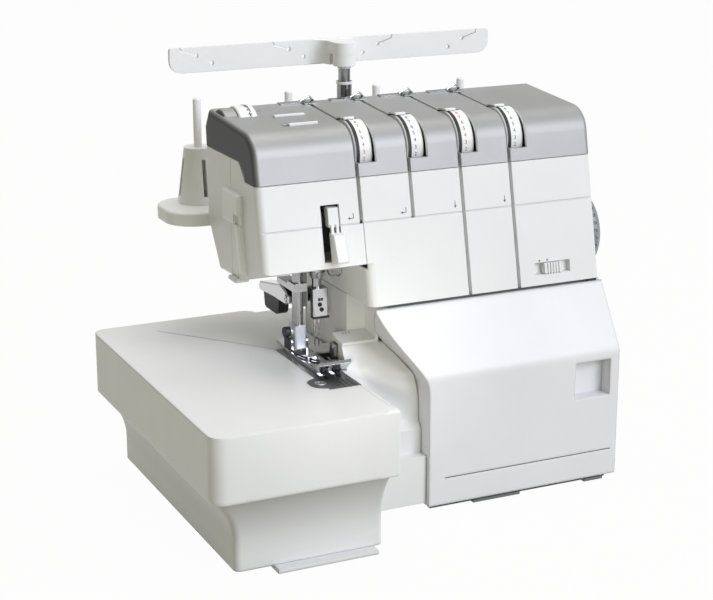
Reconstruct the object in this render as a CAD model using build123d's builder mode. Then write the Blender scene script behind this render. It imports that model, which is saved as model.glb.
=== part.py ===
"""Serger overlock machine with an extension table, as an assembly of separate pieces.

Millimetres. +X is the operator's right, +Y the back, +Z up. The origin is on the
floor, at the middle of the machine's box.
"""
import math
import os

from build123d import *

# Shared clearances and walls
seam = 0.4  # visible gap between two mouldings
run_fit = 0.05  # radial clearance of a shaft in its bore
free_gap = 0.6  # clearance round a piece that moves past another
wall = 2.5  # moulded housing wall

# Upper housing: arm and column
body_left = -103.5
body_right = 160.0
column_left = -26.5
column_round = 6.0
front_tilt = 12.0  # degrees that the front leans back
front_foot_y = -45.0
column_foot_z = 150.0
arm_front_z = 180.0
arm_low_y = 9.0
arm_low_z = 165.0
arm_heel_y = 47.0
arm_heel_z = 163.6
arm_back_z = 197.0
body_back = 69.5
split_y = 20.0  # joint between the front and rear covers
panel_seam_z = 207.5
panel_seam_size = 1.0
face_corner = 5.0

# Grey top cover
cap_front_z = 239.0
cap_step_rise = 12.0  # the ends' lower edge above the front's
cap_step_round = 3.5
cap_step_y = -6.6
cap_ramp_y = 5.0
cap_shoulder_rise = 18.0
cap_top_front_y = -4.0
cap_top_rise = 33.7
cap_top_back_y = 63.0
cap_slope_rise = 4.7
cap_heel_rise = 26.0
cap_heel_out = 1.0
cap_end_round = 4.0
cap_side_z = cap_front_z + cap_step_rise
cap_shoulder_z = cap_front_z + cap_shoulder_rise
cap_top_front_z = cap_front_z + cap_top_rise
cap_top_back_z = cap_top_front_z + cap_slope_rise
cap_heel_z = cap_front_z + cap_heel_rise

# Thread slots and tension dials
slot_count = 4
slot_first_x = -28.0
slot_pitch = 40.0
slot_width = 2.6
slot_depth = 8.5
groove_depth = 4.5  # of the slots' run down the white front
slot_wall = 1.5
slot_back_y = 59.5
dial_y = 3.0
dial_sink = 20.7  # the dials' axle below the cover's front edge
dial_radius = 22.0
dial_width = 13.0
dial_rim = 3.0
window_width = 14.0
window_drop = 4.0  # the window's sill below the axle
window_back_y = 2.0
hood_back_y = 12.0
hood_rise = 2.0
disc_radius = 20.0
disc_thick = 1.0
disc_gap = 0.2
tension_rod_radius = 2.5
tension_rod_left = -31.0
lug_offset = 15.0
lug_thick = 3.0
bracket_drop = 24.0
bracket_thick = 3.0
dial_z = cap_top_front_z - dial_sink
window_low_z = dial_z - window_drop
bracket_z = dial_z - bracket_drop

# Presser foot pressure dial on the top
pressure_x0 = -90.0
pressure_x1 = -76.4
pressure_y = 48.0
pressure_sink = 12.35  # its axle below the cover's top
pressure_radius = 17.0
pressure_axle = 3.0
boss_left = -100.5
boss_radius = 15.5

# Base
foot_height = 4.0
tray_top = 8.5
tray_left = -46.5
tray_front = -59.0
pad_size = 16.0
pad_long = 39.0
pad_long_x = 64.5
pad_y = -53.0
pad_right_x = 148.0
pad_left_x = -34.0
pad_back_y = 58.0

# Looper cover
cover_left = 5.5
cover_right = 161.0
cover_top_left = -24.0
cover_front = -73.5
cover_low_z = 6.5
cover_edge_z = 103.0
cover_top_y = -45.5
cover_top_z = 148.5
cover_wall = 3.0
cover_edge_round = 14.0
hinge_y = -66.5
hinge_z = 11.0
hinge_pin = 2.0
hinge_eye = 3.6
hinge_arm = 10.0
hinge_inset = 16.0
recess_x0 = 124.0
recess_x1 = 153.5
recess_z0 = 69.0
recess_z1 = 96.5
recess_depth = 11.0
rule_z = 26.0
rule_x0 = 18.0
rule_x1 = 156.0
rule_size = 0.8

# Bed: free arm, apron and throat
bed_top = 101.6
plate_top = 104.8
plate_thick = 3.0
arm_left = -100.0
arm_front = -46.0
arm_back = 56.0
arm_floor = 61.0
apron_left = -45.2
apron_right = 5.0
apron_top_y = -21.5
apron_top_z = 117.0
apron_toe_y = -61.0
apron_toe_z = 62.0
ledge_z = 44.0
ledge_y = -69.5
recess_wall_x = -12.0
recess_back_y = -4.5
throat_top = 149.6

# Seam guide over the knife arm
guide_left = -38.0
guide_front_z = 119.0
guide_back_z = 122.5
guide_back_y = -4.5
guide_low_z = 104.0
guide_wall = 2.0

# Needle plate
plate_left = -69.0
plate_right = -45.7
plate_front = -70.0
plate_back = 26.0
lobe_left = -78.0
lobe_front = -67.0
lobe_back = -44.0
feed_row_left = -62.0
feed_row_right = -53.0
feed_slot = 4.2
feed_row = 3.0
needle_slot_left = -60.0
needle_slot_front = 1.5
needle_slot_back = 11.0

# Needle and presser mechanism
needle_x = -45.0
needle_y = 6.5
needle_pitch = 3.2
needle_bar_radius = 3.5
needle_bar_rise = 3.0  # above the front edge of the top cover
clamp_left = 5.4  # the clamp's sides measured from the needle bar
clamp_right = 6.4
clamp_front = 6.8
clamp_back = 4.8
clamp_low = 134.0
clamp_high = 154.5
needle_tip = 109.5
needle_radius = 0.5
needle_shank = 0.9
rocker_y = 42.0
rocker_z = 208.0
rocker_hub = 8.0
rocker_pin = 4.0
rocker_rest_rise = 7.5
cross_pin = 2.0
fork_slot = 2.9
presser_x = -57.5
presser_y = 12.0
presser_bar_radius = 4.0
presser_bar_low = 118.0
presser_bar_rise = 7.0
holder_low = 110.0
holder_high = 127.0
holder_width = 9.0
holder_front = 6.0
holder_back = 19.0
foot_pin_y = 12.5
foot_pin_z = 113.5
foot_pin = 1.5
foot_left = -65.0
foot_toe_right = -41.0
foot_heel_right = -50.0
foot_front = -44.0
foot_back = 34.0
foot_sole = 105.0
foot_thick = 2.4
toe_rise = 7.0
collar_low = 152.0
collar_high = 158.0
lifter_y = 21.0
lifter_z = 144.0
lifter_end_y = 74.0
lifter_width = 10.0
lifter_pin = 2.5

# Loopers, knives and feed dogs
lower_looper_x = -39.0
lower_looper_z = 50.0
lower_looper_reach = 46.0
lower_looper_y = 9.0
upper_looper_x = -66.0
upper_looper_z = 71.0
upper_looper_y = 4.0
looper_blade = 1.6
looper_shaft = 4.0
knife_x = -39.5
knife_thick = 2.0
knife_front = -14.0
knife_back = -5.5
knife_bar_x = -31.0
knife_bar = 6.0

# Drive
main_y = 8.0
main_z = 174.0
main_shaft_radius = 6.0
main_shaft_left = -18.0
main_pulley_radius = 24.0
motor_pulley_radius = 8.0
pulley_x0 = 131.0
pulley_x1 = 141.0
belt_thick = 1.8
belt_gap = 0.3
motor_z = 74.0
motor_radius = 24.0
motor_x0 = 40.0
motor_x1 = 110.0
motor_shaft = 4.0
wheel_x0 = 160.6
wheel_x1 = 176.0
wheel_radius = 33.0
casting_y0 = 52.0
casting_y1 = 64.0

# Threader lever and tightness slider
cutter_out = 4.0  # thread cutter hood on the arm's left end
cutter_y0 = -2.0
cutter_y1 = 29.0
cutter_z0 = 206.0
cutter_z1 = 228.0
cutter_groove = 2.5
cutter_groove_depth = 1.2
threader_x0 = -58.0
threader_x1 = -44.0
threader_slot_low = 184.0
threader_slot_high = 222.5
threader_width = 7.8
threader_side_gap = 1.4
threader_low = 184.0
threader_high = 204.0
threader_out = 12.5
threader_top_out = 8.5
threader_tab_low = 207.5
threader_tab_high = 220.5
slider_x0 = 105.8
slider_x1 = 135.3
slider_z0 = 157.3
slider_z1 = 165.9
slider_knob = 14.0

# Extension table
table_left = -176.0
table_right = -47.0
table_front = -127.0
table_back = 127.0
table_depth = 47.0
table_corner = 10.0
table_edge = 3.0
table_wall = 2.5
leg_inset_left = 21.0
leg_inset_front = 18.0
leg_inset_back = 18.0
leg_inset_right = 7.0
leg_low = 3.0
leg_flare_height = 24.0
wing_right = -31.0
wing_front = 28.0

# Spool stand
stand_left = -127.5
stand_right = 155.5
stand_back = 127.0
stand_top = 200.7
stand_thick = 9.7
stand_corner = 22.0
spool_y = 106.5
spool_first_x = -95.5
spool_pitch = 72.8
spool_count = 4
spool_pin = 3.0
spool_pin_length = 77.1
cone_low_radius = 16.0
cone_top_radius = 10.5
cone_height = 41.3
cone_wall = 2.0
cone_slit = 3.0
mast_x = 14.0
mast_y = 86.5
mast_tube = 5.6
mast_rod = 4.5
mast_tube_length = 85.3
mast_rod_out = 20.0  # rod that stands out of the tube when pushed down
mast_rod_foot = 5.3
bar_left = -116.0
bar_right = 146.0
bar_drop = 9.2  # the bar's lower edge below the rod's end
bar_height = 18.4
bar_thick = 3.0
bar_corner = 9.0
bar_top_corner = 2.0
bar_hole = 1.6
bar_hole_drop = 6.2
bar_hole_step = 12.0
bar_slit = 0.8
bar_slit_reach = 13.0
bar_slit_fall = 2.6
hub_radius = 8.5
hub_drop = 8.5
hub_height = 13.5
hub_blend = 8.0
hub_arm_half = 5.0

# Right side controls
side_dial_radius = 17.0
side_dial_x1 = 170.0
side_dial_z = 96.0
stitch_dial_y = -12.0
feed_dial_y = 34.0
side_dial_stem = 4.0
inlet_y = 34.0
switch_y = -6.0
socket_z = 40.0
socket_width = 28.0
socket_height = 20.0
socket_depth = 18.0
switch_width = 22.0
switch_height = 14.0

os.makedirs("parts", exist_ok=True)
tilt = math.radians(front_tilt)
stand_low = stand_top - stand_thick
spool_pin_top = stand_top + spool_pin_length
cone_top = stand_top + cone_height
mast_tube_top = stand_top + mast_tube_length
mast_rod_low = stand_top + mast_rod_foot
mast_rod_top = mast_tube_top + mast_rod_out
bar_low = mast_rod_top - bar_drop
bar_high = bar_low + bar_height
hub_low = mast_rod_top - hub_drop
hub_high = hub_low + hub_height
table_low = plate_top - table_depth
needle_bar_top = cap_front_z + needle_bar_rise
presser_bar_top = cap_front_z + presser_bar_rise
clear_front = cover_front - 10  # ahead of every housing piece
clear_high = cap_top_back_z + 20  # above every housing piece
slot_xs = [slot_first_x + slot_pitch * i for i in range(slot_count)]
spool_xs = [spool_first_x + spool_pitch * i for i in range(spool_count)]


def finish(builder, name):
    """Label a finished piece and write its file."""
    builder.part.label = name
    export_step(builder.part, f"parts/{name}.step")


def block(x0, x1, y0, y1, z0, z1, mode=Mode.ADD):
    """A box given by its six faces."""
    with Locations(((x0 + x1) / 2, (y0 + y1) / 2, (z0 + z1) / 2)):
        Box(x1 - x0, y1 - y0, z1 - z0, mode=mode)


def rod_x(y, z, radius, x0, x1, mode=Mode.ADD):
    """A cylinder along X."""
    with Locations(Location(((x0 + x1) / 2, y, z), (0, 90, 0))):
        Cylinder(radius, x1 - x0, mode=mode)


def rod_y(x, z, radius, y0, y1, mode=Mode.ADD):
    """A cylinder along Y."""
    with Locations(Location((x, (y0 + y1) / 2, z), (90, 0, 0))):
        Cylinder(radius, y1 - y0, mode=mode)


def rod_z(x, y, radius, z0, z1, mode=Mode.ADD):
    """A cylinder along Z."""
    with Locations((x, y, (z0 + z1) / 2)):
        Cylinder(radius, z1 - z0, mode=mode)


def side_shape(points, x0, x1, mode=Mode.ADD):
    """Extrude a closed outline of (y, z) points from x0 to x1."""
    with BuildSketch(Plane.YZ.offset(x0)) as outline:
        with BuildLine():
            Polyline(*points, close=True)
        make_face()
    extrude(outline.sketch, amount=x1 - x0, mode=mode)


def front_shape(points, y0, y1, mode=Mode.ADD):
    """Extrude a closed outline of (x, z) points from y0 back to y1."""
    with BuildSketch(Plane((0, y1, 0), x_dir=(1, 0, 0), z_dir=(0, -1, 0))) as outline:
        with BuildLine():
            Polyline(*points, close=True)
        make_face()
    extrude(outline.sketch, amount=y1 - y0, mode=mode)


def front_y(z):
    """Depth of the leaning front face at height z."""
    return front_foot_y + (z - column_foot_z) * math.tan(tilt)


def cap_top(y):
    """Height of the top cover at depth y."""
    rise = (cap_top_back_z - cap_top_front_z) / (cap_top_back_y - cap_top_front_y)
    return cap_top_front_z + (y - cap_top_front_y) * rise


def cap_shape(inset, x0, x1, mode=Mode.ADD):
    """The grey cover's side outline, drawn in by inset, extruded from x0 to x1."""
    low = cap_front_z - 4 * inset
    side = cap_side_z - 4 * inset
    lean = inset / math.cos(tilt)
    start = (front_y(low) + lean, low)
    shoulder = (front_y(cap_shoulder_z) + lean, cap_shoulder_z)
    top = (cap_top_front_y, cap_top_front_z - inset)
    back = (cap_top_back_y - inset / 2, cap_top_back_z - inset)
    heel = (body_back + cap_heel_out - inset, cap_heel_z)
    with BuildSketch(Plane.YZ.offset(x0)) as outline:
        with BuildLine():
            Line(start, shoulder)
            TangentArc(shoulder, top, tangent=(math.sin(tilt), math.cos(tilt)))
            Polyline(top, back, heel, (body_back - inset, side), (cap_ramp_y, side))
            ThreePointArc((cap_ramp_y, side), (cap_step_y + cap_step_round, side - cap_step_round),
                          (cap_step_y, low))
            Line((cap_step_y, low), start)
        make_face()
    extrude(outline.sketch, amount=x1 - x0, mode=mode)


def arm_points(raise_top):
    """Side outline of the arm below the grey cover, with its top raised."""
    top = cap_side_z - seam + raise_top
    step = cap_front_z - seam + raise_top
    return [
        (front_y(arm_front_z), arm_front_z),
        (front_y(step), step),
        (cap_step_y, step),
        (cap_ramp_y, top),
        (body_back, top),
        (body_back, arm_back_z),
        (arm_heel_y, arm_heel_z),
        (arm_low_y, arm_low_z),
    ]


def column_points(raise_top):
    """Side outline of the column above the looper cover, with its top raised."""
    top = cap_side_z - seam + raise_top
    step = cap_front_z - seam + raise_top
    return [
        (front_y(column_foot_z), column_foot_z),
        (front_y(step), step),
        (cap_step_y, step),
        (cap_ramp_y, top),
        (body_back, top),
        (body_back, column_foot_z),
    ]


def inner_shape(points, x0, x1):
    """Cut the hollow of a housing whose walls follow the outline."""
    with BuildSketch(Plane.YZ.offset(x0)) as outline:
        with BuildLine():
            Polyline(*points, close=True)
        make_face()
        offset(amount=-wall, kind=Kind.INTERSECTION, mode=Mode.REPLACE)
    extrude(outline.sketch, amount=x1 - x0, mode=Mode.SUBTRACT)


def front_channel(x, z_low, z_high):
    """A thread groove with its floor, let into the leaning front."""
    deep = groove_depth / math.cos(tilt)
    floor = deep + slot_wall
    outer = [(front_y(z) + d, z) for z, d in ((z_low, wall), (z_high, wall), (z_high, floor), (z_low, floor))]
    side_shape(outer, x - slot_width / 2 - slot_wall, x + slot_width / 2 + slot_wall)
    cut = [(front_y(z) + d, z) for z, d in ((z_low, -1), (z_high, -1), (z_high, deep), (z_low, deep))]
    side_shape(cut, x - slot_width / 2, x + slot_width / 2, mode=Mode.SUBTRACT)


def seam_line(x0, x1):
    """The horizontal groove across the front panels."""
    z0 = panel_seam_z
    z1 = panel_seam_z + panel_seam_size
    points = [(front_y(z) + d, z) for z, d in ((z0, -1), (z1, -1), (z1, 1), (z0, 1))]
    side_shape(points, x0, x1, mode=Mode.SUBTRACT)


def column_corner():
    """Round the column's left front edge where it shows below the arm."""
    middle = column_round * (1 - math.sqrt(0.5))
    with BuildSketch(Plane.XY.offset(column_foot_z)) as outline:
        with BuildLine():
            ThreePointArc((column_left, front_foot_y + column_round),
                          (column_left + middle, front_foot_y + middle),
                          (column_left + column_round, front_foot_y))
            Polyline((column_left + column_round, front_foot_y),
                     (column_left + column_round, front_foot_y - 1),
                     (column_left - 1, front_foot_y - 1), (column_left - 1, front_foot_y + column_round),
                     (column_left, front_foot_y + column_round))
        make_face()
    extrude(outline.sketch, amount=(arm_front_z - column_foot_z) / math.cos(tilt),
            dir=(0, math.sin(tilt), math.cos(tilt)), mode=Mode.SUBTRACT)


cover_top_limit = 60.0  # how far the hollows reach above an open top

# Face cover: the left end of the arm, with the threader slot
with BuildPart() as face_cover:
    side_shape(arm_points(0), body_left, column_left - seam)
    left_edges = face_cover.edges().filter_by_position(Axis.X, body_left - 0.01, body_left + 0.01)
    fillet([e for e in left_edges if e.center().Z < cap_front_z - 1], face_corner)
    inner_shape(arm_points(cover_top_limit), body_left + wall, column_left)
    split(bisect_by=Plane((0, split_y - seam, 0), z_dir=(0, 1, 0)), keep=Keep.BOTTOM)
    groove_edge = slot_xs[0] - slot_width / 2
    block(groove_edge, column_left, front_foot_y, split_y, panel_seam_z, cap_side_z, mode=Mode.SUBTRACT)
    seam_line(body_left, groove_edge)
    block(threader_x0, threader_x1, front_foot_y, front_y(arm_front_z) + 20, threader_slot_low,
          threader_slot_high, mode=Mode.SUBTRACT)
    block(foot_left - 7, column_left - 6, -9, split_y, arm_low_z - 10, arm_front_z - 1, mode=Mode.SUBTRACT)
    block(body_left - 1, body_left + cutter_groove_depth, cutter_y0 + 1, cutter_y0 + 1 + cutter_groove,
          arm_low_z, cutter_z0, mode=Mode.SUBTRACT)
finish(face_cover, "face_cover")

# Front cover: the column's front, with three thread grooves and the slider's pocket
hollow_high = cap_side_z + cover_top_limit
lean_wall = wall / math.cos(tilt)
foot_lip_y = -30.0
arm_opening_z = 176.0
pocket_floor = 5.0
pocket_wall = 2.0
with BuildPart() as front_cover:
    side_shape(column_points(0), column_left, body_right)
    right_edges = front_cover.edges().filter_by_position(Axis.X, body_right - 0.01, body_right + 0.01)
    corner_edges = [e for e in right_edges if column_foot_z + 1 < e.center().Z < cap_front_z - 1]
    fillet([e for e in corner_edges if e.center().Y < split_y], face_corner)
    hollow = [
        (front_y(column_foot_z + wall) + lean_wall, column_foot_z + wall),
        (front_y(hollow_high) + lean_wall, hollow_high),
        (body_back + 1, hollow_high),
        (body_back + 1, column_foot_z - 1),
        (foot_lip_y, column_foot_z - 1),
        (foot_lip_y, column_foot_z + wall),
    ]
    side_shape(hollow, column_left + wall, body_right - wall, mode=Mode.SUBTRACT)
    arm_opening = [
        (front_y(arm_opening_z) + lean_wall, arm_opening_z),
        (front_y(hollow_high) + lean_wall, hollow_high),
        (body_back, hollow_high),
        (body_back, arm_opening_z),
    ]
    side_shape(arm_opening, column_left - 1, column_left + wall + 1, mode=Mode.SUBTRACT)
    split(bisect_by=Plane((0, split_y - seam, 0), z_dir=(0, 1, 0)), keep=Keep.BOTTOM)
    groove_top = cap_front_z - seam
    front_channel(slot_xs[1], panel_seam_z, groove_top)
    for x in slot_xs[2:]:
        front_channel(x, column_foot_z, groove_top)
    deep = groove_depth / math.cos(tilt)
    floor = deep + slot_wall
    low = panel_seam_z + panel_seam_size
    side_shape([(front_y(z) + d, z) for z, d in ((low, 1), (groove_top, 1), (groove_top, floor),
                                                 (low, floor))],
               column_left, column_left + slot_wall)
    side_shape([(front_y(z) + d, z) for z, d in
                ((low, deep), (groove_top, deep), (groove_top, floor), (low, floor))],
               slot_xs[0] - slot_width / 2 - slot_wall, column_left + slot_wall)
    seam_line(column_left, body_right)
    z0 = slider_z0
    z1 = slider_z1
    side_shape([(front_y(z0) + 1, z0 - pocket_wall), (front_y(z1) + 1, z1 + pocket_wall),
                (front_y(z1) + pocket_floor + pocket_wall, z1 + pocket_wall),
                (front_y(z0) + pocket_floor + pocket_wall, z0 - pocket_wall)],
               slider_x0 - pocket_wall, slider_x1 + pocket_wall)
    side_shape([(front_y(z0) - 1, z0), (front_y(z1) - 1, z1), (front_y(z1) + pocket_floor, z1),
                (front_y(z0) + pocket_floor, z0)], slider_x0, slider_x1, mode=Mode.SUBTRACT)
    rod_x(main_y, main_z, main_shaft_radius + 2, body_right - 2 * wall, body_right + 1, mode=Mode.SUBTRACT)
    column_corner()
finish(front_cover, "front_cover")

# Rear cover: the back of the arm and column, down to the base
with BuildPart() as rear_cover:
    side_shape(arm_points(0), body_left, column_left)
    left_edges = rear_cover.edges().filter_by_position(Axis.X, body_left - 0.01, body_left + 0.01)
    fillet([e for e in left_edges if e.center().Z < cap_front_z - 1], face_corner)
    inner_shape(arm_points(cover_top_limit), body_left + wall, column_left + 1)
    side_shape(column_points(0), column_left, body_right)
    right_edges = rear_cover.edges().filter_by_position(Axis.X, body_right - 0.01, body_right + 0.01)
    back_edges = [e for e in right_edges if column_foot_z + 1 < e.center().Z < cap_side_z - 1]
    fillet([e for e in back_edges if e.center().Y > body_back - 1], face_corner)
    block(column_left + wall, body_right - wall, clear_front, body_back - wall, column_foot_z - 1,
          hollow_high, mode=Mode.SUBTRACT)
    block(column_left - 1, column_left + wall + 1, clear_front, body_back - wall, arm_opening_z, hollow_high,
          mode=Mode.SUBTRACT)
    block(foot_left - 7, column_left - 6, -9, arm_heel_y - 6, arm_heel_z - 10, arm_opening_z,
          mode=Mode.SUBTRACT)
    split(bisect_by=Plane((0, split_y, 0), z_dir=(0, 1, 0)), keep=Keep.TOP)
    block(column_left, body_right, body_back - wall, body_back, tray_top, column_foot_z + 1)
finish(rear_cover, "rear_cover")

# Grey top cover with its thread slots, dial windows and hoods
lining_half = slot_width / 2 + slot_wall
slot_linings = []
slot_cutters = []
for x in slot_xs:
    with BuildPart() as lining:
        cap_shape(0, x - lining_half, x + lining_half)
        cap_shape(slot_depth + slot_wall, x - lining_half, x + lining_half, mode=Mode.SUBTRACT)
    slot_linings.append(lining.part)
    with BuildPart() as cutter:
        block(x - slot_width / 2, x + slot_width / 2, clear_front, slot_back_y, panel_seam_z, clear_high)
        cap_shape(slot_depth, x - lining_half, x + lining_half, mode=Mode.SUBTRACT)
    slot_cutters.append(cutter.part)

pressure_z = cap_top(pressure_y) - pressure_sink
pressure_chord = math.sqrt(pressure_radius ** 2 - (pressure_sink - wall - 1) ** 2) + free_gap
pressure_lug = 3.0
lug_half = 6.0
button_out = 5.0
button_radius = 2.2
button_rise = 0.8
thread_lip = 2.2
thread_lip_rise = 0.9
thread_lip_length = 20.0
thread_lip_left = -68.0
thread_lip_back_y = 28.5
thread_lip_front_y = 4.0
with BuildPart() as pressure_boss:
    rod_x(pressure_y, pressure_z, boss_radius, boss_left, pressure_x0 - free_gap)
    fillet(pressure_boss.edges().filter_by(GeomType.CIRCLE).sort_by(Axis.X)[0], 2)
    block(boss_left, pressure_x0, pressure_y - boss_radius, pressure_y + boss_radius,
          pressure_z - boss_radius, cap_top(pressure_y - boss_radius) - wall / 2, mode=Mode.SUBTRACT)
with BuildPart() as top_cover:
    cap_shape(0, body_left, body_right)
    for end in (body_left, body_right):
        end_edges = top_cover.edges().filter_by_position(Axis.X, end - 0.01, end + 0.01)
        fillet([e for e in end_edges if e.center().Z > cap_side_z + 3 or e.center().Y < front_y(cap_side_z)],
               cap_end_round)
    cap_shape(wall, body_left + wall, body_right - wall, mode=Mode.SUBTRACT)
    for part in slot_linings:
        add(part)
    for x in slot_xs:
        hood = [
            (window_back_y, cap_top(window_back_y) - wall),
            (window_back_y, cap_top(window_back_y) + hood_rise),
            (hood_back_y - 4, cap_top(hood_back_y) + hood_rise),
            (hood_back_y, cap_top(hood_back_y)),
            (hood_back_y, cap_top(hood_back_y) - wall),
        ]
        side_shape(hood, x + slot_width / 2, x + slot_width / 2 + window_width)
    for part in slot_cutters:
        add(part, mode=Mode.SUBTRACT)
    for x in slot_xs:
        left = x - slot_width / 2
        right = x + slot_width / 2 + window_width
        block(left, right, clear_front, window_back_y, window_low_z, clear_high, mode=Mode.SUBTRACT)
        rod_x(dial_y, dial_z, dial_radius + free_gap, left, right, mode=Mode.SUBTRACT)
    add(pressure_boss.part)
    for lug_x in (pressure_x0 - 1 - pressure_lug, pressure_x1 + 1):
        block(lug_x, lug_x + pressure_lug, pressure_y - lug_half, pressure_y + lug_half,
              pressure_z - lug_half, cap_top(pressure_y) - wall / 2)
    block(pressure_x0 - free_gap, pressure_x1 + free_gap, pressure_y - pressure_chord,
          pressure_y + pressure_chord, pressure_z, clear_high, mode=Mode.SUBTRACT)
    rod_x(pressure_y, pressure_z, pressure_axle + run_fit, pressure_x0 - 2 * pressure_lug,
          pressure_x1 + 2 * pressure_lug, mode=Mode.SUBTRACT)
    rod_z(pressure_x1 + button_out, pressure_y, button_radius, cap_top(pressure_y) - wall / 2,
          cap_top(pressure_y) + button_rise)
    for lip_x, lip_y in ((thread_lip_left, thread_lip_back_y), (thread_lip_left - 3, thread_lip_front_y)):
        block(lip_x, lip_x + thread_lip_length, lip_y - thread_lip / 2, lip_y + thread_lip / 2,
              cap_top(lip_y) - wall / 2, cap_top(lip_y) + thread_lip_rise)
        block(lip_x, lip_x + thread_lip_length, lip_y - 1.4 * thread_lip, lip_y - thread_lip / 2,
              cap_top(lip_y) - wall / 2, cap_top(lip_y) + thread_lip_rise, mode=Mode.SUBTRACT)
finish(top_cover, "top_cover")

# Tension dials on one rod
dial_hub = 6.0
dial_web = 4.0
for number, x in enumerate(slot_xs, start=1):
    dial_x = x + slot_width / 2 + (window_width - dial_width) / 2
    with BuildPart() as tension_dial:
        rod_x(dial_y, dial_z, dial_radius, dial_x, dial_x + dial_width)
        chamfer(tension_dial.edges().filter_by(GeomType.CIRCLE), 0.6)
        rod_x(dial_y, dial_z, dial_radius - dial_rim, dial_x + dial_web, dial_x + dial_width,
              mode=Mode.SUBTRACT)
        rod_x(dial_y, dial_z, dial_hub, dial_x, dial_x + dial_width)
        rod_x(dial_y, dial_z, tension_rod_radius + run_fit, dial_x, dial_x + dial_width, mode=Mode.SUBTRACT)
    finish(tension_dial, f"tension_dial_{number}")

with BuildPart() as tension_discs:
    for x in slot_xs:
        for side in (-1, 1):
            middle = x + side * (disc_gap + disc_thick) / 2
            rod_x(dial_y, dial_z, disc_radius, middle - disc_thick / 2, middle + disc_thick / 2)
    for x in slot_xs:
        rod_x(dial_y, dial_z, tension_rod_radius, x - slot_width, x + slot_width, mode=Mode.SUBTRACT)
finish(tension_discs, "tension_discs")

bracket_left = -33.0
bracket_right = 118.0
bracket_front = -10.0
with BuildPart() as tension_bracket:
    block(bracket_left, bracket_right, bracket_front, casting_y0, bracket_z - bracket_thick, bracket_z)
    for x in slot_xs:
        lug_x = x + slot_width / 2 + lug_offset
        block(lug_x, lug_x + lug_thick, dial_y - 8, dial_y + 8, bracket_z - 1, dial_z + 6)
    rod_x(dial_y, dial_z, tension_rod_radius, tension_rod_left, slot_xs[-1] + lug_offset + 8)
finish(tension_bracket, "tension_bracket")

# Presser foot pressure dial with its axle
with BuildPart() as pressure_dial:
    rod_x(pressure_y, pressure_z, pressure_radius, pressure_x0, pressure_x1)
    chamfer(pressure_dial.edges().filter_by(GeomType.CIRCLE), 0.8)
    rod_x(pressure_y, pressure_z, pressure_axle, pressure_x0 - 1 - pressure_lug,
          pressure_x1 + 1 + pressure_lug)
finish(pressure_dial, "pressure_dial")

# Thread guides: a bent clip over the back end of each slot
clip_half = 5.0
clip_front_y = 52.0
clip_thick = 1.2
clip_drop = 0.6
tail_front_y = 57.0
tail_thick = 0.8
tail_length = 17.0
clip_y = cap_top_back_y + clip_drop * (body_back + cap_heel_out - cap_top_back_y)
clip_z = cap_top_back_z - clip_drop * (cap_top_back_z - cap_heel_z)
with BuildPart() as thread_guides:
    for x in slot_xs:
        outline = [
            (clip_front_y, cap_top(clip_front_y)),
            (cap_top_back_y, cap_top_back_z),
            (clip_y, clip_z),
            (clip_y + clip_thick, clip_z + clip_thick / 2),
            (cap_top_back_y + clip_thick / 2, cap_top_back_z + clip_thick),
            (clip_front_y, cap_top(clip_front_y) + clip_thick),
        ]
        side_shape(outline, x - clip_half, x + clip_half)
        tail = [
            (tail_front_y, cap_top(tail_front_y)),
            (cap_top_back_y, cap_top_back_z),
            (cap_top_back_y, cap_top_back_z + tail_thick),
            (tail_front_y, cap_top(tail_front_y) + tail_thick),
        ]
        side_shape(tail, x - clip_half - tail_length, x - clip_half)
finish(thread_guides, "thread_guides")

# Thread cutter hood on the left end
with BuildPart() as thread_cutter:
    block(body_left - cutter_out, body_left, cutter_y0, cutter_y1, cutter_z0, cutter_z1)
    outer = thread_cutter.faces().sort_by(Axis.X)[0].edges()
    fillet(outer, 2.5)
    block(body_left - cutter_out - 1, body_left - 1.5, cutter_y0 - 1, cutter_y0 + 9, cutter_z0 - 1,
          cutter_z0 + 8, mode=Mode.SUBTRACT)
finish(thread_cutter, "thread_cutter")

apron_bow_y = -46.0
apron_bow_z = 80.0
plate_low = plate_top - plate_thick


def apron_shape(x0, x1, inset, mode=Mode.ADD):
    """The apron's side outline drawn in by inset, open below and behind once drawn in."""
    low = tray_top - 4 * inset
    crest = (apron_top_y + inset, apron_top_z - inset)
    toe = (apron_toe_y + inset, apron_toe_z - inset)
    with BuildSketch(Plane.YZ.offset(x0)) as outline:
        with BuildLine():
            ThreePointArc(crest, (apron_bow_y + inset, apron_bow_z - inset), toe)
            Polyline(toe, (apron_toe_y + inset, ledge_z - inset), (ledge_y + inset, ledge_z - inset),
                     (ledge_y + inset, low), (apron_top_y + inset, low), crest)
        make_face()
    extrude(outline.sketch, amount=x1 - x0, mode=mode)


# Base tray with the looper cover's hinge eyes
hinge_play = 0.5
eye_width = 7.0
with BuildPart() as base_tray:
    block(tray_left, body_right, tray_front, body_back, foot_height, tray_top)
    for eye_x in (cover_left + hinge_inset - eye_width - hinge_play, cover_right - hinge_inset + hinge_play):
        block(eye_x, eye_x + eye_width, hinge_y, tray_front + 1, hinge_z - 3, hinge_z + 3)
        block(eye_x, eye_x + eye_width, tray_front - 1, tray_front + 6, foot_height, hinge_z + 3)
        rod_x(hinge_y, hinge_z, hinge_eye, eye_x, eye_x + eye_width)
        rod_x(hinge_y, hinge_z, hinge_pin + run_fit, eye_x, eye_x + eye_width, mode=Mode.SUBTRACT)
finish(base_tray, "base_tray")

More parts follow.
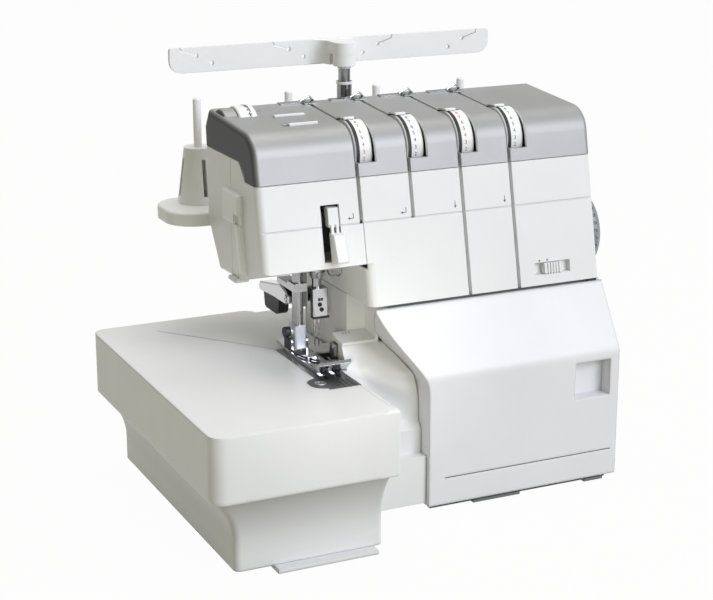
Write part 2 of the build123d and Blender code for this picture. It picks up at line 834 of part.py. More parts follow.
with BuildPart() as rubber_feet:
    with BuildSketch():
        with Locations((pad_long_x, pad_y)):
            RectangleRounded(pad_long, pad_size, 4)
        with Locations((pad_right_x, pad_y), (pad_left_x, pad_y), (pad_left_x, pad_back_y),
                       (pad_right_x, pad_back_y), (pad_long_x, pad_back_y)):
            RectangleRounded(pad_size, pad_size, 4)
    extrude(amount=foot_height)
finish(rubber_feet, "rubber_feet")

# Looper cover: it swings forward on two hinge pins
cover_slope = math.hypot(cover_top_y - cover_front, cover_top_z - cover_edge_z)
slope_rise = (cover_top_z - cover_edge_z) / (cover_top_y - cover_front)
inner_front = cover_front + cover_wall
inner_edge_z = cover_edge_z + cover_wall * (slope_rise - cover_slope / (cover_top_y - cover_front))
cover_hollow_back = cover_top_y + 5
cover_side_wall = 7.5
cover_bends = [(-13, 126), (-3, 111), (4, 99)]
cover_bend_z = 86.0
cheek_wall = 3.0
cheek_gap = 1.0
cheek_low = 82.0
cheek_high = 126.0
bulkhead_y0 = -32.0
bulkhead_y1 = -29.5
bulkhead_step_z = 112.0
recess_lining = 2.0
cover_far_left = cover_top_left - 60
cover_far_right = cover_left + 60


def cover_curve(shift, back, far_x):
    """Cut away all between the cover's curved edge, moved right by shift, and far_x, ahead of depth back."""
    points = [(cover_top_left, cover_top_z + 1)] + cover_bends + [(cover_left, cover_bend_z)]
    edge = [(x + shift, z) for x, z in points]
    with BuildSketch(Plane((0, back, 0), x_dir=(1, 0, 0), z_dir=(0, -1, 0))) as outline:
        with BuildLine():
            Spline(*edge, tangents=((0.25, -1), (0, -1)))
            Polyline(edge[-1], (cover_left + shift, 0), (far_x, 0), (far_x, cover_top_z + 1), edge[0])
        make_face()
    extrude(outline.sketch, amount=back - clear_front, mode=Mode.SUBTRACT)


with BuildPart() as cover_hollow:
    side_shape([(inner_front, 0), (inner_front, inner_edge_z),
                (cover_hollow_back, inner_edge_z + (cover_hollow_back - inner_front) * slope_rise),
                (cover_hollow_back, 0)], cover_top_left - 10, cover_right - cover_wall)
    front_edge = cover_hollow.edges().filter_by(Axis.X).filter_by_position(
        Axis.Y, inner_front - 0.01, inner_front + 0.01).sort_by(Axis.Z)[-1]
    fillet(front_edge, cover_edge_round - cover_wall)
    cover_curve(cover_side_wall, cover_hollow_back, cover_far_left)

cheek_back = apron_top_y - cheek_gap
with BuildPart() as cover_cheek:
    side_shape([(cover_top_y - 1, cheek_low), (cheek_back, cheek_low), (cheek_back, cheek_high),
                (cover_top_y, cover_top_z - 1.5), (cover_top_y - 1, cover_top_z - 1.5 - slope_rise)],
               cover_top_left, cover_left + cheek_wall)
    apron_shape(cover_top_left, cover_left + cheek_wall, -cheek_gap, mode=Mode.SUBTRACT)
    cover_curve(0, cheek_back + 1, cover_far_left)
    cover_curve(cheek_wall, cheek_back + 1, cover_far_right)
    block(apron_right - cheek_gap, cover_far_right, bulkhead_y0 - cheek_gap, cheek_back, cheek_low,
          cheek_high, mode=Mode.SUBTRACT)

with BuildPart() as looper_cover:
    side_shape([(cover_front, cover_low_z), (cover_front, cover_edge_z), (cover_top_y, cover_top_z),
                (cover_top_y, cover_low_z)], cover_top_left - 10, cover_right)
    front_edge = looper_cover.edges().filter_by(Axis.X).filter_by_position(
        Axis.Y, cover_front - 0.01, cover_front + 0.01).sort_by(Axis.Z)[-1]
    fillet(front_edge, cover_edge_round)
    cover_curve(0, cover_hollow_back, cover_far_left)
    add(cover_hollow.part, mode=Mode.SUBTRACT)
    add(cover_cheek.part)
    block(cover_top_left - 10, cover_right + 1, tray_front - 3, cover_top_y + 1, 0, tray_top + free_gap,
          mode=Mode.SUBTRACT)
    block(recess_x0 - recess_lining, recess_x1 + recess_lining, cover_front + 1,
          cover_front + recess_depth + recess_lining, recess_z0 - recess_lining, recess_z1 + recess_lining)
    block(recess_x0, recess_x1, cover_front - 1, cover_front + recess_depth, recess_z0, recess_z1,
          mode=Mode.SUBTRACT)
    block(rule_x0, rule_x1, cover_front - 1, cover_front + rule_size, rule_z, rule_z + rule_size,
          mode=Mode.SUBTRACT)
    knuckle_left = cover_left + hinge_inset
    knuckle_right = cover_right - hinge_inset
    for knuckle_x in (knuckle_left, knuckle_right - hinge_arm):
        block(knuckle_x, knuckle_x + hinge_arm, inner_front - 1, hinge_y, hinge_z - 3, hinge_z + 3)
        rod_x(hinge_y, hinge_z, hinge_eye, knuckle_x, knuckle_x + hinge_arm)
    rod_x(hinge_y, hinge_z, hinge_pin, knuckle_left - eye_width - hinge_play, knuckle_left)
    rod_x(hinge_y, hinge_z, hinge_pin, knuckle_right, knuckle_right + eye_width + hinge_play)
finish(looper_cover, "looper_cover")

# Right side cover, with holes for the inlet, the switch and the dial stems
cover_fit = 0.2
with BuildPart() as side_cover:
    block(body_right - wall, body_right, cover_top_y + 1.5, body_back - wall - seam, tray_top, throat_top)
    block(body_right - 2 * wall, body_right + 1, inlet_y - socket_width / 2 - cover_fit,
          inlet_y + socket_width / 2 + cover_fit, socket_z - socket_height / 2 - cover_fit,
          socket_z + socket_height / 2 + cover_fit, mode=Mode.SUBTRACT)
    block(body_right - 2 * wall, body_right + 1, switch_y - switch_width / 2 - free_gap,
          switch_y + switch_width / 2 + free_gap, socket_z - switch_height / 2 - 1,
          socket_z + switch_height / 2 + 1, mode=Mode.SUBTRACT)
    for y in (stitch_dial_y, feed_dial_y):
        rod_x(y, side_dial_z, side_dial_stem + run_fit, body_right - 2 * wall, body_right + 1,
              mode=Mode.SUBTRACT)
finish(side_cover, "side_cover")

# Bulkhead behind the looper cover
with BuildPart() as bulkhead_left:
    block(recess_wall_x + wall + seam, apron_right + 1, bulkhead_y0, bulkhead_y1, bulkhead_step_z,
          throat_top - seam)
    cover_curve(cheek_wall + cheek_gap, bulkhead_y1 + 1, cover_far_left)
with BuildPart() as looper_bulkhead:
    block(apron_right + seam, body_right - wall - seam, bulkhead_y0, bulkhead_y1, tray_top, throat_top - seam)
    add(bulkhead_left.part)
finish(looper_bulkhead, "looper_bulkhead")

# Bed housing: the free arm, the curved apron and the throat walls
recess_front_y = apron_top_y - 14
recess_front_z = 142.0
with BuildPart() as bed_housing:
    apron_shape(apron_left, apron_right, 0)
    apron_shape(apron_left + wall, apron_right - wall, wall, mode=Mode.SUBTRACT)
    block(arm_left, apron_left, arm_front, arm_back, arm_floor, bed_top)
    block(arm_left + wall, apron_left + wall + 0.5, arm_front + wall, arm_back - wall, arm_floor + wall,
          bed_top - wall, mode=Mode.SUBTRACT)
    block(plate_left - 4, apron_left + wall + 0.5, arm_front + wall, arm_back - wall, bed_top - wall - 1,
          bed_top + 0.01, mode=Mode.SUBTRACT)
    block(lower_looper_x - 24, apron_left + 1, lower_looper_y - 4, lower_looper_y + 4, arm_floor - 1,
          arm_floor + wall + 1, mode=Mode.SUBTRACT)
    block(apron_left - 1, guide_left - seam, apron_toe_y, apron_top_y + 1, bed_top, apron_top_z + 1,
          mode=Mode.SUBTRACT)
    side_shape([(apron_top_y, plate_low), (apron_top_y, cheek_high + cheek_gap),
                (recess_front_y, recess_front_z), (recess_front_y, throat_top),
                (recess_back_y + wall, throat_top), (recess_back_y + wall, plate_low)],
               recess_wall_x, recess_wall_x + wall)
    block(column_left, recess_wall_x + wall, recess_back_y, recess_back_y + wall, plate_low, throat_top)
    block(column_left, column_left + wall, recess_back_y, body_back - wall - seam, plate_low, throat_top)
finish(bed_housing, "bed_housing")

# Seam guide: a hollow step over the knife arm
guide_right = recess_wall_x
guide_front = apron_top_y
with BuildPart() as cloth_guide:
    side_shape([(guide_front, guide_low_z), (guide_front, guide_front_z), (guide_back_y, guide_back_z),
                (guide_back_y, guide_low_z)], guide_left, guide_right)
    fillet(cloth_guide.faces().sort_by(Axis.X)[0].edges().filter_by_position(
        Axis.Z, guide_front_z - 0.1, guide_back_z + 0.1), 1.5)
    block(guide_left + guide_wall, guide_right - guide_wall, guide_front + guide_wall,
          guide_back_y - guide_wall, guide_low_z - 1, guide_front_z - guide_wall, mode=Mode.SUBTRACT)
    block(guide_left - 1, guide_left + guide_wall + 1, knife_front - free_gap, knife_back + free_gap,
          guide_low_z - 1, guide_front_z - guide_wall, mode=Mode.SUBTRACT)
finish(cloth_guide, "cloth_guide")

# Needle plate with its feed slots and the open needle notch
diff_slot_front = -49.0
diff_row_front = -40.5
diff_row_back = -4.0
main_row_front = 13.5
main_row_back = 22.0
feed_travel = 2.5
lobe_round = 10.0
plate_groove = 0.7
plate_groove_xs = (-57.0, -53.5, -50.0)


def lobe_shape(grow, z0, z1, mode=Mode.ADD):
    """The plate's rounded lobe on the left, grown outwards, from z0 to z1."""
    left = lobe_left - grow
    right = plate_left + lobe_round + 3
    with BuildSketch(Plane.XY.offset(z0)) as outline:
        with Locations(((left + right) / 2, (lobe_front + lobe_back) / 2)):
            RectangleRounded(right - left, lobe_back - lobe_front + 2 * grow, lobe_round + grow)
    extrude(outline.sketch, amount=z1 - z0, mode=mode)


with BuildPart() as needle_plate:
    block(plate_left, plate_right, plate_front, plate_back, plate_low, plate_top)
    lobe_shape(0, plate_low, plate_top)
    for x in plate_groove_xs:
        block(x - plate_groove / 2, x + plate_groove / 2, plate_front, diff_slot_front - 3,
              plate_top - plate_groove, plate_top, mode=Mode.SUBTRACT)
    for x in (feed_row_left, feed_row_right):
        block(x - feed_slot / 2, x + feed_slot / 2, diff_slot_front,
              diff_row_back + feed_travel + 0.5, plate_low, plate_top, mode=Mode.SUBTRACT)
        block(x - feed_slot / 2, x + feed_slot / 2, needle_slot_back - 0.5, main_row_back + feed_travel,
              plate_low, plate_top, mode=Mode.SUBTRACT)
    block(needle_slot_left, plate_right, needle_slot_front, needle_slot_back, plate_low, plate_top,
          mode=Mode.SUBTRACT)
finish(needle_plate, "needle_plate")

# Feed dogs: two toothed rows on a base that slides on rails
rail_top = 89.7
feed_base_low = 90.0
feed_base_high = 96.0
feed_top = 104.5
tooth_pitch = 3.0
tooth_depth = 1.2


def feed_dog(row_front, row_back, base_front, base_back, name):
    """A feed dog with two rows of teeth."""
    with BuildPart() as dog:
        block(plate_left + 1, feed_row_right + 5, base_front, base_back, feed_base_low, feed_base_high)
        for x in (feed_row_left, feed_row_right):
            block(x - feed_row / 2, x + feed_row / 2, row_front, row_back, feed_base_high - 1, feed_top)
        y = row_front + tooth_pitch / 2
        while y < row_back - 0.5:
            side_shape([(y - tooth_depth, feed_top + 0.1), (y + tooth_depth, feed_top + 0.1),
                        (y + tooth_depth / 2, feed_top - tooth_depth)], plate_left, feed_row_right + 5,
                       mode=Mode.SUBTRACT)
            y += tooth_pitch
    finish(dog, name)


feed_dog(main_row_front, main_row_back, 13.0, 23.0, "feed_dog_main")
feed_dog(diff_row_front, diff_row_back, -25.0, diff_row_back, "feed_dog_diff")

# Knives: the lower one fixed to the bed, the upper one on a bar that slides in a guide
lower_knife_x = knife_x - knife_thick - 0.3
lower_knife_low = 78.0
with BuildPart() as lower_knife:
    block(lower_knife_x - knife_thick / 2, lower_knife_x + knife_thick / 2, knife_front, knife_back,
          lower_knife_low, plate_top)
    chamfer(lower_knife.edges().filter_by(Axis.Y).sort_by(Axis.Z)[-1], 0.8)
finish(lower_knife, "lower_knife")

upper_knife_low = 107.0
upper_knife_high = 116.0
knife_arm_low = 110.0
knife_bar_low = 66.0
knife_bar_y0 = -13.5
knife_bar_y1 = -7.5
with BuildPart() as upper_knife:
    block(knife_x - knife_thick / 2, knife_x + knife_thick / 2, knife_front, knife_back, upper_knife_low,
          upper_knife_high)
    block(knife_x, knife_bar_x + knife_bar / 2, knife_bar_y0, knife_bar_y1, knife_arm_low, upper_knife_high)
    block(knife_bar_x - knife_bar / 2, knife_bar_x + knife_bar / 2, knife_bar_y0, knife_bar_y1, knife_bar_low,
          upper_knife_high)
finish(upper_knife, "upper_knife")

# Bed casting: it carries the plate, the feed rails, the looper shafts and the knife guide
bed_low = arm_floor + wall + 1
bed_wall_left = plate_left - 3
bed_front_y0 = -34.0
bed_front_y1 = -28.0
bed_rear_y0 = 36.0
bed_rear_y1 = 44.0
rail_low = 84.0
rail_inner = -66.0
knife_lug_left = -46.0
knife_lug_right = lower_knife_x - knife_thick / 2
sleeve_low = 64.0
sleeve_high = 74.0
with BuildPart() as bed_casting:
    block(bed_wall_left, apron_left - seam, bed_front_y0, bed_front_y1, bed_low, plate_low)
    block(bed_wall_left, -4, bed_rear_y0, bed_rear_y1, bed_low, plate_low)
    block(bed_wall_left, knife_lug_right, plate_back - 2, bed_rear_y0 + 1, plate_low - 4, plate_low)
    block(bed_wall_left, rail_inner, bed_front_y0, bed_rear_y1, rail_low, rail_top)
    block(-50, knife_lug_left, bed_front_y0, 0, rail_low, rail_top)
    block(-50, knife_lug_left, needle_slot_back + 1, bed_rear_y1, rail_low, rail_top)
    block(knife_lug_left, knife_lug_right, bed_front_y0, knife_back, bed_low, lower_knife_low)
    block(knife_lug_left, knife_lug_right, knife_front, knife_back, bed_low, rail_top + 6)
    block(knife_lug_left, knife_bar_x + knife_bar / 2 + 4, knife_bar_y0 - 4, knife_bar_y1 + 3, sleeve_low,
          sleeve_high)
    block(knife_bar_x - knife_bar / 2 - run_fit, knife_bar_x + knife_bar / 2 + run_fit,
          knife_bar_y0 - run_fit, knife_bar_y1 + run_fit, sleeve_low, sleeve_high, mode=Mode.SUBTRACT)
    block(-44.8, -32, bed_rear_y0, bed_rear_y1, lower_looper_z - 10, bed_low + 2)
    block(-20, -4, bed_rear_y0, casting_y0, lower_looper_z - 10, bed_low + 6)
    for x in (feed_row_left, feed_row_right):
        block(x - feed_slot / 2, x + feed_slot / 2, bed_front_y0, bed_front_y1, feed_base_high - 1.5,
              plate_low, mode=Mode.SUBTRACT)
    rod_y(lower_looper_x, lower_looper_z, looper_shaft + run_fit, bed_rear_y0, bed_rear_y1,
          mode=Mode.SUBTRACT)
    rod_y(upper_looper_x, upper_looper_z, looper_shaft + run_fit, bed_front_y0, bed_front_y1,
          mode=Mode.SUBTRACT)
finish(bed_casting, "bed_casting")

# Loopers: each a bent blade on its own shaft
looper_hub = 6.0
looper_back = looper_blade / 2
upper_tip = (-28.0, 94.0)
with BuildPart() as upper_looper:
    rod_y(upper_looper_x, upper_looper_z, looper_shaft, bed_front_y0 - 3, upper_looper_y)
    rod_y(upper_looper_x, upper_looper_z, looper_hub, 0.5, upper_looper_y + looper_back)
    front_shape([(upper_looper_x, upper_looper_z - 3), (-40, 77), (-31, 84), upper_tip, (-30.5, 93.5),
                 (-36, 85.5),
                 (-42, 82), (upper_looper_x, upper_looper_z + 4)], upper_looper_y - looper_back,
                upper_looper_y + looper_back)
finish(upper_looper, "upper_looper")

lower_start = math.radians(-31)
lower_end = math.radians(-12.6)
blade_half = 1.5


def on_looper(radius, angle):
    """A point of the lower looper's blade, its angle taken from upright."""
    return (lower_looper_x + radius * math.sin(angle), lower_looper_z + radius * math.cos(angle))


with BuildPart() as lower_looper:
    rod_y(lower_looper_x, lower_looper_z, looper_shaft, lower_looper_y, bed_rear_y1 + 2)
    rod_y(lower_looper_x, lower_looper_z, looper_hub, lower_looper_y - looper_back, lower_looper_y + 2.5)
    middle = (lower_start + lower_end) / 2
    front_shape([
        on_looper(2, lower_start - 1.2),
        on_looper(lower_looper_reach - 6, lower_start - 0.05),
        on_looper(lower_looper_reach + blade_half, lower_start + 0.02),
        on_looper(lower_looper_reach + blade_half, middle),
        on_looper(lower_looper_reach, lower_end),
        on_looper(lower_looper_reach - blade_half, middle),
        on_looper(lower_looper_reach - 5, lower_start + 0.1),
        on_looper(2, lower_start + 1.2),
    ], lower_looper_y - looper_back, lower_looper_y + looper_back)
finish(lower_looper, "lower_looper")

# Needle bar, clamp and needles
clamp_grip = 8.5
collar_z0 = 210.5
collar_z1 = 220.5
collar_half = 4.5
pin_reach = 7.0
pin_z = rocker_z + rocker_rest_rise
needle_xs = (needle_x - needle_pitch / 2, needle_x + needle_pitch / 2)
needle_seat = 140.0
needle_step = 126.0
needle_taper = 112.5
with BuildPart() as needle_bar:
    rod_z(needle_x, needle_y, needle_bar_radius, clamp_high - clamp_grip, needle_bar_top)
    block(needle_x - collar_half, needle_x + collar_half, needle_y - collar_half, needle_y + collar_half,
          collar_z0, collar_z1)
    rod_x(needle_y, pin_z, cross_pin, needle_x - pin_reach, needle_x + pin_reach)
finish(needle_bar, "needle_bar")

with BuildPart() as needle_clamp:
    block(needle_x - clamp_left, needle_x + clamp_right, needle_y - clamp_front, needle_y + clamp_back,
          clamp_low, clamp_high)
    fillet(needle_clamp.edges().filter_by(Axis.Z), 1.2)
    rod_z(needle_x, needle_y, needle_bar_radius, clamp_high - clamp_grip, clamp_high, mode=Mode.SUBTRACT)
    for x in needle_xs:
        rod_z(x, needle_y, needle_shank, clamp_low, needle_seat, mode=Mode.SUBTRACT)
finish(needle_clamp, "needle_clamp")

with BuildPart() as needles:
    for x in needle_xs:
        rod_z(x, needle_y, needle_shank, needle_step, needle_seat)
        rod_z(x, needle_y, needle_radius, needle_taper, needle_step)
        with Locations((x, needle_y, (needle_tip + needle_taper) / 2)):
            Cone(0.05, needle_radius, needle_taper - needle_tip)
finish(needles, "needles")

# Needle rocker: a forked lever on the head's cross pin
rocker_left = -57.0
rocker_right = -15.0
fork_gap = 0.8
fork_thick = 2.0
lever_angle = math.atan2(rocker_rest_rise, rocker_y - needle_y)


def on_lever(along, across):
    """A (y, z) point of the rocker lever, measured from its pin."""
    return (rocker_y - along * math.cos(lever_angle) + across * math.sin(lever_angle),
            rocker_z + along * math.sin(lever_angle) + across * math.cos(lever_angle))


fork_inner = needle_x - collar_half - fork_gap
fork_outer = needle_x + collar_half + fork_gap
with BuildPart() as needle_rocker:
    rod_x(rocker_y, rocker_z, rocker_hub, rocker_left, rocker_right)
    rod_x(rocker_y, rocker_z, rocker_pin, rocker_left - 6, rocker_right + 6)
    side_shape([on_lever(0, -6), on_lever(22, -5.5), on_lever(22, 5.5), on_lever(0, 6)],
               fork_inner - fork_thick, fork_outer + fork_thick)
    for x in (fork_inner - fork_thick, fork_outer):
        side_shape([on_lever(20, -5.5), on_lever(41, -5.5), on_lever(41, -fork_slot),
                    on_lever(29, -fork_slot),
                    on_lever(29, fork_slot), on_lever(41, fork_slot), on_lever(41, 5.5), on_lever(20, 5.5)],
                   x, x + fork_thick)
finish(needle_rocker, "needle_rocker")

# Bushings for the needle bar and the presser bar, pressed into the head
needle_bush = 5.0
presser_bush = 6.0
needle_bush_low = 161.5
needle_bush_tip = 4.4
needle_bush_cone = 4.5
presser_bush_low = 166.0
bush_high = 184.0
head_high = cap_front_z - 9
head_high_top = head_high + 5
top_bush_low = head_high - 2
top_bush_high = head_high_top + 2
with BuildPart() as bar_bushings:
    rod_z(needle_x, needle_y, needle_bush, needle_bush_low + needle_bush_cone, bush_high)
    with Locations((needle_x, needle_y, needle_bush_low + needle_bush_cone / 2)):
        Cone(needle_bush_tip, needle_bush + 1, needle_bush_cone)
    rod_z(needle_x, needle_y, needle_bush, top_bush_low, top_bush_high)
    rod_z(presser_x, presser_y, presser_bush, presser_bush_low, bush_high)
    rod_z(presser_x, presser_y, presser_bush, top_bush_low, top_bush_high)
    rod_z(needle_x, needle_y, needle_bar_radius + run_fit, needle_bush_low, top_bush_high, mode=Mode.SUBTRACT)
    rod_z(presser_x, presser_y, presser_bar_radius + run_fit, presser_bush_low, top_bush_high,
          mode=Mode.SUBTRACT)
finish(bar_bushings, "bar_bushings")

# Presser bar, its collar, the foot holder and the foot
with BuildPart() as presser_bar:
    rod_z(presser_x, presser_y, presser_bar_radius, presser_bar_low, presser_bar_top)
finish(presser_bar, "presser_bar")

collar_arm_y = 38.0
with BuildPart() as presser_collar:
    block(presser_x - lifter_width / 2, presser_x + lifter_width / 2, holder_front, holder_back, collar_low,
          collar_high)
    block(presser_x - lifter_width / 2, presser_x + lifter_width / 2, holder_back - 1, collar_arm_y,
          collar_low, collar_high - 2)
    rod_z(presser_x, presser_y, presser_bar_radius, collar_low, collar_high, mode=Mode.SUBTRACT)
finish(presser_collar, "presser_collar")

foot_screw = 3.0
foot_screw_out = 4.5
foot_screw_drop = 5.0
holder_left = presser_x - holder_width / 2
with BuildPart() as foot_holder:
    block(presser_x - holder_width / 2, presser_x + holder_width / 2, holder_front, holder_back, holder_low,
          holder_high)
    fillet(foot_holder.edges().filter_by(Axis.Z), 1.5)
    rod_z(presser_x, presser_y, presser_bar_radius, presser_bar_low, holder_high, mode=Mode.SUBTRACT)
    rod_x(presser_y, holder_high - foot_screw_drop, foot_screw, holder_left - foot_screw_out, holder_left)
    rod_x(foot_pin_y, foot_pin_z, foot_pin + run_fit, presser_x - holder_width, presser_x + holder_width,
          mode=Mode.SUBTRACT)
finish(foot_holder, "foot_holder")

ear_thick = 1.6
heel_rise = 2.6
toe_split_y = -20.0
with BuildPart() as presser_foot:
    sole_top = foot_sole + foot_thick
    side_shape([(foot_back, foot_sole + heel_rise), (foot_back, sole_top + heel_rise),
                (foot_pin_y + 2, sole_top),
                (foot_front + 11, sole_top), (foot_front + 1.5, sole_top + toe_rise),
                (foot_front, sole_top + toe_rise - 2), (foot_front + 9, foot_sole),
                (foot_pin_y - 2, foot_sole)],
               foot_left, foot_toe_right)
    block(foot_heel_right, foot_toe_right + 1, toe_split_y, foot_back + 1, foot_sole - 1, sole_top + 10,
          mode=Mode.SUBTRACT)
    ear_left = presser_x - holder_width / 2 - seam
    ear_right = presser_x + holder_width / 2 + seam
    for x in (ear_left - ear_thick, ear_right):
        block(x, x + ear_thick, foot_pin_y - 4, foot_pin_y + 4, sole_top - 1, foot_pin_z)
        rod_x(foot_pin_y, foot_pin_z, 4, x, x + ear_thick)
    rod_x(foot_pin_y, foot_pin_z, foot_pin, ear_left - 1, ear_right + 1)
finish(presser_foot, "presser_foot")

# Presser foot lifter
lifter_left = presser_x - lifter_width / 2
lifter_right = lifter_left + lifter_width
lifter_bracket_left = lifter_right + free_gap
lifter_bracket_right = lifter_bracket_left + 3
lifter_low = 138.5
lifter_end_low = 137.0
lifter_bend_y = 44.0
grip_end_y = 66.0
grip_low = 126.5
grip_inset = 1.0
with BuildPart() as lifter_lever:
    side_shape([(18, 141), (18, 146), (24, 149.5), (34, 151.6), (40, 150), (lifter_end_y - 2, 144),
                (lifter_end_y, 141), (lifter_end_y - 2, lifter_end_low), (lifter_bend_y, lifter_low),
                (24, lifter_low)], lifter_left, lifter_right)
    fillet(lifter_lever.edges().filter_by(Axis.X).sort_by(Axis.Y)[-2:], 2)
    chamfer(lifter_lever.faces().sort_by(Axis.X)[0].edges(), 1)
    rod_x(lifter_y, lifter_z, lifter_pin, lifter_right, lifter_bracket_right)
finish(lifter_lever, "lifter_lever")

grip_fall = (lifter_low - lifter_end_low) / (lifter_end_y - 2 - lifter_bend_y)
with BuildPart() as lifter_grip:
    side_shape([(37, lifter_low), (lifter_bend_y, lifter_low),
                (grip_end_y, lifter_low - (grip_end_y - lifter_bend_y) * grip_fall),
                (grip_end_y - 2, grip_low + 1),
                (grip_end_y - 6, grip_low), (42, grip_low), (38.5, grip_low + 2.5)],
               lifter_left + grip_inset, lifter_right - grip_inset)
finish(lifter_grip, "lifter_grip")

# Presser leaf spring: it stands on the casting and bears on the bar
leaf_thick = 1.2
leaf_front = 7.0
leaf_gap = 0.1
casting_top = cap_front_z + 1
with BuildPart() as pressure_spring:
    leaf_low = presser_bar_top + leaf_gap
    block(presser_x - 4, presser_x + 4, leaf_front, casting_y0 + 4, leaf_low, leaf_low + leaf_thick)
    block(presser_x - 4, presser_x + 4, casting_y0 + 4 - leaf_thick, casting_y0 + 4, casting_top,
          leaf_low + leaf_thick)
finish(pressure_spring, "pressure_spring")

# Frame casting: the back wall that carries the shafts, the head and the motor
casting_left = -69.0
casting_right = 150.0
shaft_wall_left = -20.0
beam_low = 197.0
shaft_wall_low = 158.0
post_left = 96.0
foot_beam_top = 60.0
bearing_width = 12.0
bearing_lefts = (0.0, 112.0)
bearing_half = 12.0
motor_lug_x1 = motor_x1 + 5
motor_boss = 10.0
head_right = -33.0
head_front = -4.0
head_back = 48.0
head_low = 176.0
head_low_top = 182.0
web_right = -65.0
rocker_lug = 6.0
with BuildPart() as frame_casting:
    block(casting_left, casting_right, casting_y0, casting_y1, beam_low, casting_top)
    block(shaft_wall_left, casting_right, casting_y0, casting_y1, shaft_wall_low, beam_low + 1)
    block(post_left, casting_right, casting_y0, casting_y1, tray_top, shaft_wall_low + 1)
    block(shaft_wall_left, post_left + 1, casting_y0, casting_y1, tray_top, foot_beam_top)
    for x in bearing_lefts:
        block(x, x + bearing_width, main_y - bearing_half, casting_y0 + 1, main_z - bearing_half,
              main_z + bearing_half)
    rod_x(main_y, main_z, main_shaft_radius + run_fit, shaft_wall_left, casting_right, mode=Mode.SUBTRACT)
    block(motor_x1, motor_lug_x1, main_y - motor_radius - 2, casting_y0 + 1, motor_z - motor_radius - 2,
          motor_z + motor_radius + 2)
    rod_x(main_y, motor_z, motor_boss + run_fit, motor_x1, motor_lug_x1, mode=Mode.SUBTRACT)
    block(casting_left, web_right, head_front, casting_y0 + 1, head_low_top - 1, head_high_top)
    block(casting_left, head_right, head_front, head_back, head_low, head_low_top)
    block(casting_left, head_right, head_front, head_back, head_high, head_high_top)
    for x in (rocker_left - 7, rocker_right + 1):
        block(x, x + rocker_lug, rocker_y - 6, casting_y0 + 1, rocker_z - 6, rocker_z + 6)
        rod_x(rocker_y, rocker_z, rocker_pin + run_fit, x, x + rocker_lug, mode=Mode.SUBTRACT)
    for z0, z1 in ((head_low, head_low_top), (head_high, head_high_top)):
        rod_z(needle_x, needle_y, needle_bush, z0, z1, mode=Mode.SUBTRACT)
        rod_z(presser_x, presser_y, presser_bush, z0, z1, mode=Mode.SUBTRACT)
    block(lifter_bracket_left, lifter_bracket_right, lifter_y - 6, lifter_y + 6, lifter_z - 6, head_low + 1)
    rod_x(lifter_y, lifter_z, lifter_pin + run_fit, lifter_bracket_left, lifter_bracket_right,
          mode=Mode.SUBTRACT)
finish(frame_casting, "frame_casting")

# Motor, belt, main shaft and handwheel
motor_bore_x = 102.0
with BuildPart() as motor:
    rod_x(main_y, motor_z, motor_radius, motor_x0, motor_x1)
    chamfer(motor.edges().filter_by(GeomType.CIRCLE), 2)
    rod_x(main_y, motor_z, motor_boss, motor_x1 - 1, motor_lug_x1)
    rod_x(main_y, motor_z, motor_shaft + run_fit, motor_bore_x, motor_lug_x1, mode=Mode.SUBTRACT)
finish(motor, "motor")

flange_thick = 1.0
flange_rise = 2.5


def pulley_rim(z, radius):
    """A flanged belt pulley about the X axis at height z."""
    rod_x(main_y, z, radius, pulley_x0, pulley_x1)
    rod_x(main_y, z, radius + flange_rise, pulley_x0, pulley_x0 + flange_thick)
    rod_x(main_y, z, radius + flange_rise, pulley_x1 - flange_thick, pulley_x1)


with BuildPart() as motor_pulley:
    pulley_rim(motor_z, motor_pulley_radius)
    rod_x(main_y, motor_z, motor_shaft, motor_bore_x + 1, pulley_x1)
finish(motor_pulley, "motor_pulley")

with BuildPart() as shaft_pulley:
    pulley_rim(main_z, main_pulley_radius)
    rod_x(main_y, main_z, main_shaft_radius, pulley_x0, pulley_x1, mode=Mode.SUBTRACT)
finish(shaft_pulley, "shaft_pulley")

belt_x0 = pulley_x0 + flange_thick + belt_gap
belt_x1 = pulley_x1 - flange_thick - belt_gap
belt_lean = (main_pulley_radius - motor_pulley_radius) / (main_z - motor_z)
belt_across = math.sqrt(1 - belt_lean ** 2)


def belt_loop(grow, mode):
    """The outline round both pulleys, grown outwards."""
    big = main_pulley_radius + grow
    small = motor_pulley_radius + grow
    rod_x(main_y, main_z, big, belt_x0, belt_x1, mode=mode)
    rod_x(main_y, motor_z, small, belt_x0, belt_x1, mode=mode)
    side_shape([(main_y - big * belt_across, main_z - big * belt_lean),
                (main_y + big * belt_across, main_z - big * belt_lean),
                (main_y + small * belt_across, motor_z - small * belt_lean),
                (main_y - small * belt_across, motor_z - small * belt_lean)], belt_x0, belt_x1, mode=mode)


with BuildPart() as drive_belt:
    belt_loop(belt_gap + belt_thick, Mode.ADD)
    belt_loop(belt_gap, Mode.SUBTRACT)
finish(drive_belt, "drive_belt")

main_shaft_right = 173.0
eccentric_x0 = -16.0
eccentric_x1 = -8.0
eccentric_radius = 10.0
eccentric_throw = 3.0
with BuildPart() as main_shaft:
    rod_x(main_y, main_z, main_shaft_radius, main_shaft_left, main_shaft_right)
    rod_x(main_y, main_z + eccentric_throw, eccentric_radius, eccentric_x0, eccentric_x1)
finish(main_shaft, "main_shaft")

